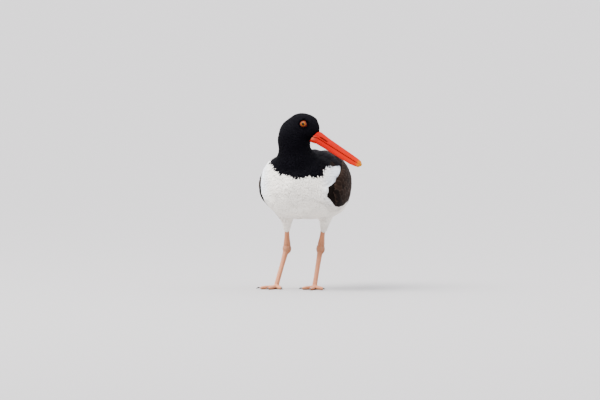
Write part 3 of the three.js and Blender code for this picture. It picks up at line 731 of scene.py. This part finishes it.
def wing_place(sign, y, turn, out):
    """A place on the folded wing, which stands off the rings and thins at its edges."""
    top, bottom = wing_edges(sign, y)
    across = np.clip((turn - top) / (bottom - top), 0, 1)
    rim = np.sqrt(np.maximum(0, 1 - (2 * across - 1) ** 4))
    front = np.clip((y - WING_FRONT[sign]) / 22, 0, 1)
    back = np.clip((WING_END - y) / 110, 0.15, 1)
    height = WING_EDGE_THICKNESS + WING_THICKNESS * rim * np.sqrt(1 - (1 - front) ** 2) * back
    place = ring_place(y, turn, height + out)
    place[..., 0] *= sign
    return place


print("wing point:", wing_place(1, np.array([0.0]), np.array([90.0]), np.array([0.0])).round(1))

# %% [markdown]
# Where the wing covers the body no coat is needed. The rest of the skin's own points, jittered
# a little, are the feather roots: the remesh has spread them evenly. Feathers are sorted by marking
# and cut into pieces that stay well under the triangle limit.

# %% Places under the wings
WING_TOP = 199


def under_wing(p, margin):
    """True where a root lies inside a wing's outline by a margin in millimetres."""
    x, y, z = p.T
    centre, side, up, down = np.moveaxis(read_table(RINGS, y), -1, 0)
    height = np.where(z > centre, up, down)
    turn = np.degrees(np.arctan2(np.abs(x) / side, (z - centre) / height))
    inside = np.zeros(len(p), dtype=bool)
    for sign in (1, -1):
        top, bottom = wing_edges(sign, y)
        own = (x * sign > 0) & (y > WING_FRONT[sign] + margin)
        inside |= own & (turn > top + margin) & (turn < bottom - margin) & (z < WING_TOP)
    return inside


covered = under_wing(skin_places, 6)
print("skin points under the wings:", int(covered.sum()))

# %% Bare places round eyes and bill
EYE_SOCKET = np.array([5.7, 5.7, 4.9])
from_bill_root = (skin_places - BILL_ROOT) @ BILL_AXES
in_bill = -from_bill_root[:, 1]
over_bill = from_bill_root[:, 2]
off_axis = np.hypot(from_bill_root[:, 0], over_bill)
in_gape = (in_bill > 8) & (off_axis < 8.6) & (over_bill < 4)
in_gape |= (in_bill > 10) & (off_axis < 6.5)
in_eye = np.zeros(len(skin_places), dtype=bool)
for centre in EYE_CENTRES.values():
    from_eye = (skin_places - centre) @ np.array(HEAD_TURN)
    in_eye |= np.linalg.norm(from_eye / EYE_SOCKET, axis=1) < 1
bare = covered | in_eye | in_gape
print("bare skin points:", int(bare.sum()))

# %% Roots of the coat
ROOT_SHIFT = 0.45
DENSE_FACE = 42
random = np.random.default_rng(7)


def coat_roots(copies):
    """Root places, normals and map places, with some skin points used more than once."""
    index = np.repeat(np.arange(len(skin_places)), copies)
    p = skin_places[index]
    n = skin_normals[index]
    shift = random.normal(0, ROOT_SHIFT, p.shape)
    distance = np.linalg.norm(shift, axis=1, keepdims=True)
    near, up = on_skin(p + along_skin(shift, n) * distance, skin_tree)
    return near, up, skin_uv[index]


from_face = np.linalg.norm(skin_places - FACE, axis=1)
every_third = np.arange(len(skin_places)) % 3 == 0
copies = np.where(bare, 0, np.where(from_face < DENSE_FACE, 2, 1 + every_third))
roots, ups, root_uv = coat_roots(copies)
kind = zone(roots + random.normal(0, 0.6, roots.shape))
print("roots:", len(roots), "black, white and brown:", np.bincount(kind))

# %% Sizes and colors of the coat
WING_MARGINS = (-8, -6, -4, -2, 0, 2)
LIFT_BY_WING, LONGER_BY_WING = 2.0, 0.3
COLOR_VARIES = np.array([0.16, 0.04, 0.16])
length, width, lift = leaf_sizes(roots)
length = length * random.uniform(0.75, 1.3, len(roots))
width = width * random.uniform(0.8, 1.2, len(roots))
lift = lift * random.uniform(0.7, 1.15, len(roots))
beside_wing = sum(under_wing(roots, margin) for margin in WING_MARGINS) / len(WING_MARGINS)
lift = lift + LIFT_BY_WING * beside_wing
length = length * (1 + LONGER_BY_WING * beside_wing)
vary = COLOR_VARIES[kind][:, None]
# Painted sky light: white feathers on the sides of the breast and at the spurs turn bluer, standing
# in for the sky's light on them.
painted_sky_light = smooth_step(30, 52, np.abs(roots[:, 0])) * smooth_step(118, 160, roots[:, 2])
painted_sky_light = (painted_sky_light * (kind == 1))[:, None]
tint = ZONE_COLOR[kind] * (1 - painted_sky_light) + SKY_LIT_WHITE * painted_sky_light
tint = tint * (1 + vary * random.uniform(-1, 1, (len(roots), 1)))
print("longest and shortest feather:", length.max().round(1), length.min().round(1))

# %% Coat pieces
LEAVES_PER_PIECE = 11500
coat = []
for marking, slot in enumerate(SLOTS):
    chosen = np.flatnonzero(kind == marking)
    chosen = chosen[np.argsort(roots[chosen, 1])]
    parts = math.ceil(len(chosen) / LEAVES_PER_PIECE)
    for part, group in enumerate(np.array_split(chosen, parts)):
        piece = leaves(
            f"coat_{slot}_{part}", roots[group], ups[group], coat_flow, length[group],
            width[group], lift[group], tint[group], root_uv[group], skin_tree,
        )
        piece.data.materials.append(PLUMAGE[marking])
        coat.append(piece)
print("coat feathers:", len(roots), "in", len(coat), "pieces")

# %% [markdown]
# A flight feather is a long closed vane: a shaft that stands up a little, two webs that fall
# away from it, a round tip and a narrow root. A row of them shares one recipe. Arrays walk each
# shaft over the wing's surface, then spread the web to both sides of it.

# %% Shape of a vane
VANE_STEPS = 14
VANE_ACROSS = np.array([-1, -0.72, -0.4, -0.07, 0, 0.07, 0.4, 0.72, 1.0])
WEB_FALL = 0.35
SHAFT_RAISE = 0.22
VANE_THICKNESS = 0.28
ROOT_SUNK = 0.4


def step_on(surface, y, turn, heading):
    """How far y and turn change for one millimetre along the surface at a heading."""
    here = surface(y, turn, 0)
    per_y = np.linalg.norm(surface(y + 1, turn, 0) - here, axis=-1)
    per_turn = np.linalg.norm(surface(y, turn + 1, 0) - here, axis=-1)
    heading = np.radians(heading)
    return np.cos(heading) / per_y, np.sin(heading) / np.maximum(per_turn, 0.02)


def vane_faces(rows, columns):
    """Outward faces of a closed plate with rows x columns points on its top and underside."""
    top = np.arange(rows * columns).reshape(rows, columns)
    low = top + rows * columns
    quads = []
    for a, order in ((top, [0, 3, 2, 1]), (low, [3, 0, 1, 2])):
        face = np.stack([a[:-1, :-1], a[1:, :-1], a[1:, 1:], a[:-1, 1:]], axis=-1).reshape(-1, 4)
        quads.append(face[:, order])
    rim = np.concatenate([top[:, 0], top[-1, 1:], top[-2::-1, -1], top[0, -2:0:-1]])
    low_rim = rim + rows * columns
    after, low_after = np.roll(rim, -1), np.roll(low_rim, -1)
    quads.append(np.stack([rim, after, low_after, low_rim], axis=1))
    return np.concatenate(quads)


def vane_shape(s, point):
    """Half width of a web at a share of its length, as a share of its widest."""
    swell = np.minimum(1, 0.35 + 2.2 * s)
    taper = np.sqrt(np.maximum(0, 1 - (np.maximum(0, s - point) / (1 - point)) ** 2))
    return swell * (0.06 + 0.94 * taper)


def vane_points(surface, row, y, turn, length, width, heading):
    """Places of every vane of a row: feathers x layers x steps x across."""
    s = np.linspace(0, 1, VANE_STEPS + 1)
    walked = [(y, turn)]
    for _ in range(VANE_STEPS):
        a, b = walked[-1]
        dy, dt = step_on(surface, a, b, heading)
        walked.append((a + dy * length / VANE_STEPS, b + dt * length / VANE_STEPS))
    line_y = np.stack([w[0] for w in walked], axis=1)
    line_turn = np.stack([w[1] for w in walked], axis=1)
    dy, dt = step_on(surface, line_y, line_turn, heading[:, None] + 90)
    v = VANE_ACROSS[None, None, :]
    reach = (width[:, None, None] / 2) * vane_shape(s, row["point"])[None, :, None] * v
    low, high = row["lift"]
    out = low + (high - low) * s[None, :, None] + row["tilt"] * v
    out = out + WEB_FALL * (1 - np.abs(v) ** 1.5)
    out = out + SHAFT_RAISE * (np.abs(v) < 0.03) * (1 - 0.7 * s)[None, :, None]
    out = out - row.get("sunk", ROOT_SUNK) * ((1 - s) ** 1.5)[None, :, None]
    grid_y = line_y[:, :, None] + dy[:, :, None] * reach
    grid_turn = line_turn[:, :, None] + dt[:, :, None] * reach
    thick = VANE_THICKNESS * (1 - 0.55 * np.abs(v)) + 0 * out
    layers = [surface(grid_y, grid_turn, out), surface(grid_y, grid_turn, out - thick)]
    return np.stack(layers, axis=1)


print("faces of a vane:", len(vane_faces(VANE_STEPS + 1, len(VANE_ACROSS))))


# %% Rows of vanes
RIM_PALE = np.array([0.058, 0.038, 0.029])
RIM_SHARE = 0.75


def row_of(surface, row, draw, front_shift):
    """Vane places for one row of feathers, each set a little off its even place."""
    count = row["count"]
    share = np.linspace(0, 1, count) if count > 1 else np.zeros(1)
    first, last = row["first"], row["last"]
    y = first[0] + (last[0] - first[0]) * share + draw.uniform(-0.9, 0.9, count)
    y = y + front_shift * np.clip((20 - y) / 78, 0, 1)
    turn = first[1] + (last[1] - first[1]) * share + draw.uniform(-0.6, 0.6, count)
    length = np.interp(share, [0, 1], row["lengths"]) * draw.uniform(0.96, 1.04, count)
    width = row["width"] * draw.uniform(0.95, 1.06, count)
    heading = np.interp(share, [0, 1], row["headings"]) + draw.uniform(-2, 2, count)
    return vane_points(surface, row, y, turn, length, width, heading)


def vane_tints(row, count, draw):
    """Color of each point: paler at the rim, with the row's own white part."""
    s = np.linspace(0, 1, VANE_STEPS + 1)[:, None]
    v = VANE_ACROSS[None, :]
    rim = np.clip(np.maximum(np.abs(v) ** 6, smooth_step(0.9, 1.0, s)), 0, 1) * row.get("rim", 0.7)
    base = np.array(row.get("color", BROWN))
    color = base + (RIM_PALE - base) * rim[..., None] * RIM_SHARE
    if "white_from" in row:
        low, high = row["white_from"]
        share = smooth_step(low, high, s + 0 * v)[..., None]
        color = color * (1 - share) + WHITE * share
    vary = draw.uniform(0.6, 1.4, (count, 1, 1, 1))
    return color[None] * vary


def vane_mesh(name, surface, rows, draw, front_shift=0.0):
    """All rows of one wing, tail or back as one mesh object."""
    all_places, all_tints, all_quads, bake, vane = [], [], [], [], []
    offset = 0
    columns = len(VANE_ACROSS)
    faces = vane_faces(VANE_STEPS + 1, columns)
    s = np.linspace(0, 1, VANE_STEPS + 1)
    local = np.stack(np.meshgrid(s, VANE_ACROSS, indexing="ij"), axis=-1).reshape(-1, 2)
    local = np.tile(local, (2, 1))
    for row in rows:
        points = row_of(surface, row, draw, front_shift)
        count = len(points)
        tints = np.repeat(vane_tints(row, count, draw)[:, None], 2, axis=1)
        per = points[0].size // 3
        all_places.append(points.reshape(-1, 3))
        all_tints.append(tints.reshape(-1, 3))
        base = offset + np.arange(count)[:, None, None] * per
        all_quads.append((faces[None] + base).reshape(-1, 4))
        root = points[:, 0, 3, columns // 2]
        round_body = np.abs(root[:, 0]) + root[:, 2]
        spot = np.stack([(root[:, 1] + 80) / 320, (round_body - 90) / 200], axis=1)
        patch = (local - np.array([0.5, 0])) * np.array([PATCH, PATCH / 2])
        bake.append((spot[:, None] * 0.96 + 0.02 + patch[None]).reshape(-1, 2))
        scale = np.array([row["lengths"][0] * 0.02, row["width"] * 0.01])
        vane.append(np.tile(local * scale, (count, 1)))
        offset += count * per
    places = np.concatenate(all_places)
    return joined_mesh(
        name, places, NO_TRIANGLES, np.concatenate(all_quads), np.concatenate(all_tints),
        np.concatenate(bake), np.concatenate(vane),
    )


print("points of a vane:", 2 * (VANE_STEPS + 1) * len(VANE_ACROSS))

# %% [markdown]
# The folded wing shows its feathers in tiers. From the tip forwards come the long outer flight
# feathers, the inner ones with the white bar at their roots, the broad inner feathers that cover
# both, four tiers of smaller covers, and the shoulder feathers beside the back. A row says how many
# feathers it has, where its first and last ones are rooted, as place along the body and turn round
# it, and their lengths, width and headings. Lift is the height at root and tip, tilt makes one
# feather lie over the next, and point is where the web starts to narrow.


# %% Rows of the wing
# Near black is the real color of the flight and tail feathers. On the wing's core and its two front
# rows at the lower edge it is painted shade.
DARK = (0.0048, 0.0032, 0.0027)
DEEP = 3.6


def vanes(count, first, last, lengths, width, headings, lift, tilt, point, **more):
    """One row of vanes, with its values in the order of the words above."""
    return dict(
        count=count, first=first, last=last, lengths=lengths, width=width, headings=headings,
        lift=lift, tilt=tilt, point=point, **more,
    )


def mantle_color(y):
    """The front of the mantle is nearly black and turns brown towards the rear."""
    share = smooth_step(-26, 14, y)
    return BLACK * 1.3 * (1 - share) + BROWN * share


WING_ROWS = [
    vanes(6, (98, 86), (84, 58), (100, 68), 11.5, (1, 6), (0.2, 0.7), 0.3, 0.7, color=DARK),
    vanes(9, (10, 107), (66, 93), (50, 60), 11.5, (8, 5), (0.2, 0.8), -0.3, 0.72, color=DARK,
          white_from=(0.25, 0.4)),
    vanes(4, (34, 80), (26, 28), (96, 130), 25, (3, 3), (0.5, 1.2), 0.4, 0.66),
    vanes(12, (-34, 112), (58, 84), (30, 40), 12.5, (18, 8), (0.4, 1.4), -0.3, 0.66),
    vanes(13, (-44, 104), (48, 74), (24, 28), 12, (16, 8), (0.8, 1.8), -0.25, 0.6),
    vanes(13, (-50, 98), (38, 68), (18, 22), 11, (14, 8), (1.0, 2.0), -0.25, 0.55),
    vanes(12, (-54, 91), (28, 61), (15, 19), 10.5, (12, 8), (1.1, 2.1), -0.2, 0.5),
    vanes(11, (-53, 86), (16, 56), (13, 18), 10, (10, 6), (1.1, 2.2), -0.2, 0.5),
    vanes(10, (-48, 78), (4, 50), (12, 16), 9.5, (10, 6), (1.2, 2.2), -0.2, 0.5),
    vanes(6, (48, 58), (38, 14), (44, 52), 17, (4, 0), (1.0, 2.2), 0.3, 0.6),
    vanes(6, (28, 56), (20, 16), (34, 40), 15, (5, 0), (1.2, 2.3), 0.3, 0.58),
    vanes(6, (10, 56), (4, 18), (28, 33), 14, (5, 0), (1.3, 2.3), 0.3, 0.55, sunk=DEEP),
    vanes(6, (-6, 58), (-10, 22), (24, 28), 13, (6, 0), (1.3, 2.3), 0.25, 0.55, sunk=DEEP,
          color=mantle_color(-2), rim=0.3),
    vanes(6, (-20, 54), (-24, 26), (20, 24), 12, (7, 0), (1.3, 2.2), 0.2, 0.5, sunk=DEEP,
          color=mantle_color(-10), rim=0.1),
    vanes(6, (-33, 50), (-36, 26), (17, 20), 11.5, (8, 0), (1.3, 2.0), 0.2, 0.5, sunk=DEEP,
          color=mantle_color(-20), rim=0.05),
    # These two front rows at the wing's lower edge are painted near black as painted shade.
    vanes(6, (-30, 120), (-50, 110), (15, 13), 9.5, (16, 10), (0.9, 1.7), -0.2, 0.5, color=DARK),
    vanes(7, (-42, 118), (-56, 100), (14, 12), 9, (16, 10), (0.9, 1.7), -0.2, 0.5, color=DARK),
]
print("wing feathers:", sum(row["count"] for row in WING_ROWS), "a side")


# %% Wings
CORE_STEPS, CORE_ROUNDS = 48, 28
CORE_END = 130.0
CORE_THICKNESS = 4.8


def wing_core(sign):
    """The closed plate of wing under the feathers, as places, faces and a flat map."""
    u = np.linspace(0, 1, CORE_STEPS + 1)[:, None]
    v = np.linspace(-1, 1, CORE_ROUNDS + 1)[None, :]
    front = WING_FRONT[sign]
    y = front + (CORE_END - front) * u + 0 * v
    top, bottom = wing_edges(sign, y)
    turn = (top + bottom) / 2 + (bottom - top) / 2 * v * 0.97
    top_side = wing_place(sign, y, turn, -0.2)
    layers = np.stack([top_side, wing_place(sign, y, turn, -0.2 - CORE_THICKNESS)])
    flat = np.stack([0.01 + 0.48 * u + 0 * v, 0.5 + 0.49 * v + 0 * u], axis=-1)
    flat_map = np.stack([flat, flat + np.array([0.5, 0])])
    faces = vane_faces(CORE_STEPS + 1, CORE_ROUNDS + 1)
    return layers.reshape(-1, 3), faces, flat_map.reshape(-1, 2)


for side, sign in (("left", 1), ("right", -1)):
    draw = np.random.default_rng(20 + sign)

    def surface(y, turn, out, sign=sign):
        return wing_place(sign, y, turn, out)

    front_shift = WING_FRONT[sign] - WING_FRONT[1]
    feathers = vane_mesh("wing_feathers_" + side, surface, WING_ROWS, draw, front_shift)
    places, faces, flat_map = wing_core(sign)
    # The core shows only in the gaps between feathers, and it is painted near black as painted shade.
    core_tints = np.tile(np.array(DARK), (len(places), 1))
    core = joined_mesh(
        "wing_core_" + side, places, NO_TRIANGLES, faces, core_tints, flat_map, flat_map
    )
    if sign < 0:
        for piece in (feathers, core):
            edit(piece, bpy.ops.mesh.flip_normals)
    feathers.data.materials.append(brown_plumage)
    core.data.materials.append(brown_plumage)
    for piece in (feathers, core):
        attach(piece, "root")
    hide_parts("wing_" + side)
    print("wing", side, "points:", len(feathers.data.vertices))

# %% [markdown]
# The back between the wings has rows of broad round feathers, like the wing's, on the ring
# surface itself. The tail is a closed fan of twelve stiff feathers that slopes down a little.

# %% Back feathers
back_rows = [
    vanes(
        7, (y, -34 + y * 0.12), (y, 34 - y * 0.12), (17, 17), 12.5 - 0.03 * y, (-3, 3), (0.6, 1.8),
        0.0, 0.5, sunk=DEEP, color=mantle_color(y), rim=0.1 + 0.5 * (y > 5),
    )
    for y in range(62, -24, -9)
]
back = vane_mesh("back_feathers", ring_place, back_rows, np.random.default_rng(3))
back.data.materials.append(brown_plumage)
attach(back, "root")
print("back feathers:", sum(row["count"] for row in back_rows))

# %% Tail
RECTRICES = 12
RECTRIX_WIDTH = 13
TAIL_ROOT_Y = 90.0
TAIL_ROOT_Z = 151.0
TAIL_ROOT_SIDE = 8
TAIL_FAN = 1.8
TAIL_LENGTH = 100.0
TAIL_SLOPE = math.tan(math.radians(7.5))


def tail_surface(place):
    """The plane of one tail feather, as a surface of distance back and distance across."""

    def at(back, across, out):
        heading = math.radians(TAIL_FAN * place)
        x = TAIL_ROOT_SIDE * place + back * math.sin(heading) + across * math.cos(heading)
        y = TAIL_ROOT_Y + back * math.cos(heading) - across * math.sin(heading)
        arch = 2.2 * (1 - abs(place)) - 0.0025 * x * x
        z = TAIL_ROOT_Z - back * TAIL_SLOPE + arch + out
        return np.stack([x + 0 * z, y + 0 * z, z], axis=-1)

    return at


tail_pieces = []
for i in range(RECTRICES):
    place = 2 * i / (RECTRICES - 1) - 1
    lengths = (TAIL_LENGTH * (1 - 0.05 * place**2),) * 2
    tilt = 0.35 * np.sign(-place)
    feather = vanes(
        1, (0, 0), (0, 0), lengths, RECTRIX_WIDTH, (0, 0), (0.2, 0.2), tilt, 0.9, color=DARK
    )
    tail_pieces.append(
        vane_mesh(f"tail_{i}", tail_surface(place), [feather], np.random.default_rng(40 + i))
    )
activate(tail_pieces[0])
for piece in tail_pieces:
    piece.select_set(True)
bpy.ops.object.join()
tail = bpy.context.object
tail.name = "tail_feathers"
tail.data.materials.append(brown_plumage)
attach(tail, "root")
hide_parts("tail")
print("tail feathers:", RECTRICES)

# %% [markdown]
# The bill is horn: a tall narrow blade in two halves with a nostril slit. Copies of its solids
# are remeshed finely and smoothed, which keeps the mouth line open. The root is drawn back into
# the face feathers, and the lower half is made a little deeper. Its color is a strong red orange
# that turns yellow at the blunt tip and pink at the corner of the mouth, and fine noise makes the
# horn uneven.
# The nostril slit and the mouth line are painted dark, as painted shade in those recesses.


# %% Horn
def horn_material(name, roughness):
    material, tree, shader, tint = painted_material(name, roughness)
    shader.inputs["Specular IOR Level"].default_value = 0.03
    place = add_node(tree, "ShaderNodeTexCoord")
    noise = add_node(tree, "ShaderNodeTexNoise")
    noise.inputs["Scale"].default_value = 320
    noise.inputs["Detail"].default_value = 5
    tree.links.new(place.outputs["Object"], noise.inputs["Vector"])
    vary_and_bump(
        tree, shader, tint, noise.outputs["Fac"], (0, 1), (0.8, 1.12),
        noise.outputs["Fac"], 0.25, 0.0002,
    )
    return material


bill_horn = horn_material("bill_horn", roughness=0.5)
print("bill material:", bill_horn.name)


# %% Color and form of the bill
BILL_RED = np.array([0.36, 0.0022, 0.0005])
BILL_ORANGE = np.array([0.40, 0.009, 0.0005])
BILL_TIP = np.array([0.42, 0.15, 0.001])
GAPE_PINK = np.array([0.42, 0.10, 0.055])
# Painted shade for the nostril slit and the mouth line.
SLIT_SHADE = np.array([0.05, 0.002, 0.001])
NOSTRIL = np.array([4.7, 26.0, 2.9])
NOSTRIL_HALF = np.array([1.7, 8.6, 1.1])
ROOT_BACK, ROOT_DOWN, ROOT_WIDER = 1.0, 1.6, 0.42
LOWER_DEEPER = 2.6


def bill_color(side, out, high):
    """Color at places in the bill's own frame: to the side, out from its root, and up."""
    root = smooth_step(17, 9, out)
    t = np.clip(out / BILL_LENGTH, 0, 1)
    orange = smooth_step(0.3, 0.92, t)[:, None]
    color = BILL_RED * (1 - orange) + BILL_ORANGE * orange
    ridge = (smooth_step(3.0, 6.5, high) * 0.5)[:, None]
    color = color * (1 - ridge) + BILL_ORANGE * ridge
    tip = smooth_step(0.88, 0.98, t)[:, None]
    color = color * (1 - tip) + BILL_TIP * tip
    gape = (root * smooth_step(3.4, 1.2, np.abs(high + 0.8)) * 0.8)[:, None]
    color = color * (1 - gape) + GAPE_PINK * gape
    # Painted shade: the nostril slit and the mouth line are darkened where shade falls in them.
    in_slot = np.stack([np.abs(side), out, high], axis=1) - NOSTRIL
    slot = np.sum((in_slot / NOSTRIL_HALF) ** 2, axis=1)
    mouth = smooth_step(0.75, 0.3, np.abs(high)) * smooth_step(0.95, 0.85, t) * 0.85
    slit = np.maximum(smooth_step(1.25, 0.7, slot), mouth)[:, None]
    color = color * (1 - slit) + SLIT_SHADE * slit
    return color * (1 - 0.28 * smooth_step(0, 6, high))[:, None]


def bill_form(side, out, high):
    """The same places with the root drawn back and widened and the lower half deepened."""
    t = np.clip(out / BILL_LENGTH, 0, 1)
    deeper = LOWER_DEEPER * np.clip(-high / 5, 0, 1) * (1 - 0.5 * smooth_step(0.75, 1, t))
    root = smooth_step(17, 9, out) * (1 - 0.6 * smooth_step(2, 8, high))
    wider = side * (1 + ROOT_WIDER * root)
    return np.stack([wider, ROOT_BACK * root - out, high - ROOT_DOWN * root - deeper], axis=1)


print("nostril from the bill's root in mm:", NOSTRIL)

# %% Bill halves
for half in ("upper", "lower"):
    node = "bill_" + half
    piece = copy_of(node + "_horn", [node], 0)
    apply_modifier(piece, "REMESH", mode="VOXEL", voxel_size=0.42 * MM)
    apply_modifier(piece, "SMOOTH", factor=0.5, iterations=4)
    smooth_shading(piece)
    to_side, backwards, high = ((places_of(piece) - BILL_ROOT) @ BILL_AXES).T
    move_to(piece, bill_form(to_side, -backwards, high) @ BILL_AXES.T + BILL_ROOT)
    paint(piece, bill_color(to_side, -backwards, high))
    piece.data.materials.append(bill_horn)
    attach(piece, "root")
    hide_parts(node)
print("bill halves: 2")

# %% [markdown]
# The eye is a wet ball with a bulging front, a little wider than tall. Its iris is yellow orange
# with a darker rim, its pupil dark and slanted, and a ring of bare red skin goes round the lids. The
# colors are painted by distance from the middle of the ball's front, before it is turned into place.


# %% Eye and skin materials
def eye_material():
    material, tree, shader, tint = painted_material("wet_eye", 0.3)
    shader.inputs["Specular IOR Level"].default_value = 0.05
    shader.inputs["Coat Weight"].default_value = 0.03
    shader.inputs["Coat Roughness"].default_value = 0.04
    tree.links.new(tint.outputs["Color"], shader.inputs["Base Color"])
    return material


def skin_material(name, roughness, subsurface, bump_depth, scale):
    """Scaly bare skin: cells raised from their edges, and a slow change of shade."""
    material, tree, shader, tint = painted_material(name, roughness)
    shader.inputs["Subsurface Weight"].default_value = subsurface
    shader.inputs["Subsurface Scale"].default_value = 0.0015
    place = add_node(tree, "ShaderNodeTexCoord")
    cells = add_node(tree, "ShaderNodeTexVoronoi", feature="DISTANCE_TO_EDGE")
    cells.inputs["Scale"].default_value = scale
    noise = add_node(tree, "ShaderNodeTexNoise")
    noise.inputs["Scale"].default_value = 150
    edge = add_node(tree, "ShaderNodeMapRange")
    edge.inputs["From Max"].default_value = 0.15
    link = tree.links.new
    link(place.outputs["Object"], cells.inputs["Vector"])
    link(place.outputs["Object"], noise.inputs["Vector"])
    link(cells.outputs["Distance"], edge.inputs["Value"])
    vary_and_bump(
        tree, shader, tint, noise.outputs["Fac"], (0, 1), (0.78, 1.12),
        edge.outputs["Result"], bump_depth, 0.0002,
    )
    return material


wet_eye = eye_material()
bare_ring = skin_material("bare_ring", roughness=0.45, subsurface=0.2, bump_depth=0.4, scale=1400)
print("eye materials:", wet_eye.name, bare_ring.name)


# %% Eyeball
EYE_RADIUS = 5.8
EYE_HEIGHT = 0.86
EYE_BULGE = 0.5
IRIS = np.array([0.26, 0.075, 0.0003])
IRIS_RIM = np.array([0.16, 0.014, 0.0003])
PUPIL_BLACK = np.array([0.004, 0.003, 0.003])
PUPIL_HALF, PUPIL_NARROWER = 2.8, 1.55


def add_eyeball(side, turn, centre):
    deselect_all()
    bpy.ops.mesh.primitive_uv_sphere_add(segments=64, ring_count=48, radius=1)
    ball = bpy.context.object
    ball.name = "eyeball_" + side
    p = point_values(ball, "co") * EYE_RADIUS
    x, y = p[:, 0], p[:, 1]
    radius = np.hypot(x, y)
    front = p[:, 2] > 0
    p[:, 2] += np.where(front, EYE_BULGE * np.exp(-((radius / 3.0) ** 2)), 0)
    angle = np.arctan2(y, x)
    fibre = 0.88 + 0.12 * np.sin(angle * 31 + 3 * np.sin(angle * 7))
    rim = smooth_step(3.0, 4.1, radius)[:, None]
    iris = (IRIS * (1 - rim) + IRIS_RIM * rim) * fibre[:, None]
    slant = np.hypot((x * 0.86 + y * 0.5) * PUPIL_NARROWER, y * 0.86 - x * 0.5)
    outside = smooth_step(PUPIL_HALF, PUPIL_HALF + 0.15, slant)[:, None]
    color = iris * outside + PUPIL_BLACK * (1 - outside)
    color = np.where(front[:, None], color, 0.01)
    move_to(ball, (p * np.array([1, EYE_HEIGHT, 1])) @ turn.T + centre)
    paint(ball, color)
    smooth_shading(ball)
    ball.data.materials.append(wet_eye)
    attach(ball, "root")
    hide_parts("eye_" + side)


print("eye width in mm:", 2 * EYE_RADIUS)


# %% Rings and both eyes
RING_HALF, RING_HEIGHT = 4.4, 0.74
RING_RED = np.array([0.085, 0.004, 0.001])


def add_eye_ring(side, turn, centre):
    deselect_all()
    bpy.ops.mesh.primitive_torus_add(
        major_radius=1, minor_radius=0.2, major_segments=64, minor_segments=16
    )
    ring = bpy.context.object
    ring.name = "eye_ring_" + side
    q = point_values(ring, "co")
    around = np.arctan2(q[:, 1], q[:, 0])
    out = np.hypot(q[:, 0], q[:, 1]) - 1
    wide = RING_HALF + out * 2.6 + 0.12 * np.sin(around * 23)
    up = 3.9 + q[:, 2] * 4.4 - 1.25 * out
    q = np.stack([np.cos(around) * wide, np.sin(around) * wide * RING_HEIGHT, up], axis=1)
    move_to(ring, q @ turn.T + centre)
    paint(ring, np.tile(RING_RED, (len(q), 1)))
    smooth_shading(ring)
    ring.data.materials.append(bare_ring)
    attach(ring, "root")


for side, sign in (("left", 1), ("right", -1)):
    facing = (HEAD_TURN @ Vector((sign, -0.3, 0.12))).normalized()
    turn = np.array(facing.to_track_quat("Z", "Y").to_matrix())
    add_eyeball(side, turn, EYE_CENTRES[side])
    add_eye_ring(side, turn, EYE_CENTRES[side])
print("eyes:", len(EYE_CENTRES))

# %% [markdown]
# The legs are bare pale pink skin with small scales, thick at the ankle. Copies of leg and foot
# are joined and remeshed as one piece a side, and the scales are raised rows of the mesh itself.
# The ankle and the soles are browner. The claws are short dark horn.

# %% Legs and feet
SCALE_HEIGHT, SCALE_LENGTH, SCALE_WIDTH = 0.12, 2.4, 4.2
SOLE, ANKLE = 0.9, 57
bare_leg = skin_material("bare_leg", roughness=0.6, subsurface=0.15, bump_depth=0.6, scale=900)
LEG_PINK = np.array([0.45, 0.168, 0.072])
LEG_BROWN = np.array([0.23, 0.094, 0.042])
for side in ("left", "right"):
    piece = copy_of("bare_leg_" + side, ["leg_" + side, "foot_" + side], 0.22 * MM)
    apply_modifier(piece, "REMESH", mode="VOXEL", voxel_size=0.5 * MM)
    apply_modifier(piece, "SMOOTH", factor=0.5, iterations=6)
    p = places_of(piece)
    n = point_values(piece, "normal")
    rows = np.sin(p[:, 2] * math.tau / SCALE_LENGTH)
    columns = np.cos((p[:, 0] + p[:, 1]) * math.tau / SCALE_WIDTH)
    scale = SCALE_HEIGHT * np.tanh(2.5 * rows * columns) * smooth_step(6, 12, p[:, 2])
    low = p[:, 2] < SOLE
    p = p + n * (scale - SCALE_HEIGHT)[:, None]
    p[:, 2] = np.where(low, np.clip(p[:, 2], 0.05, None), p[:, 2])
    move_to(piece, p)
    ankle = 0.55 * np.exp(-(((p[:, 2] - ANKLE) / 9) ** 2))
    brown = (ankle + 0.35 * smooth_step(6, 0, p[:, 2]))[:, None]
    paint(piece, LEG_PINK * (1 - brown) + LEG_BROWN * brown)
    smooth_shading(piece)
    piece.data.materials.append(bare_leg)
    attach(piece, "root")
    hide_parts("leg_" + side, "foot_" + side)
    print("leg", side, "points:", len(p))

# %% Claws
claw_horn = plain_material("claw_horn", (0.03, 0.025, 0.02), 0.4)
for side in ("left", "right"):
    for toe in ("inner", "middle", "outer"):
        node = f"claw_{side}_{toe}"
        piece = copy_of(node + "_horn", [node], 0)
        apply_modifier(piece, "SUBSURF", levels=2, render_levels=2)
        smooth_shading(piece)
        piece.data.materials.append(claw_horn)
        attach(piece, "root")
        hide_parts(node)
print("claw material:", claw_horn.name)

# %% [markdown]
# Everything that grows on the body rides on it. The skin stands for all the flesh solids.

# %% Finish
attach(skin, "root")
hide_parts(*FLESH)
for piece in coat:
    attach(piece, "root")
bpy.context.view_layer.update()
triangles = sum(len(o.data.loop_triangles) for o in bpy.data.objects if o.type == "MESH")
print("triangles:", triangles)
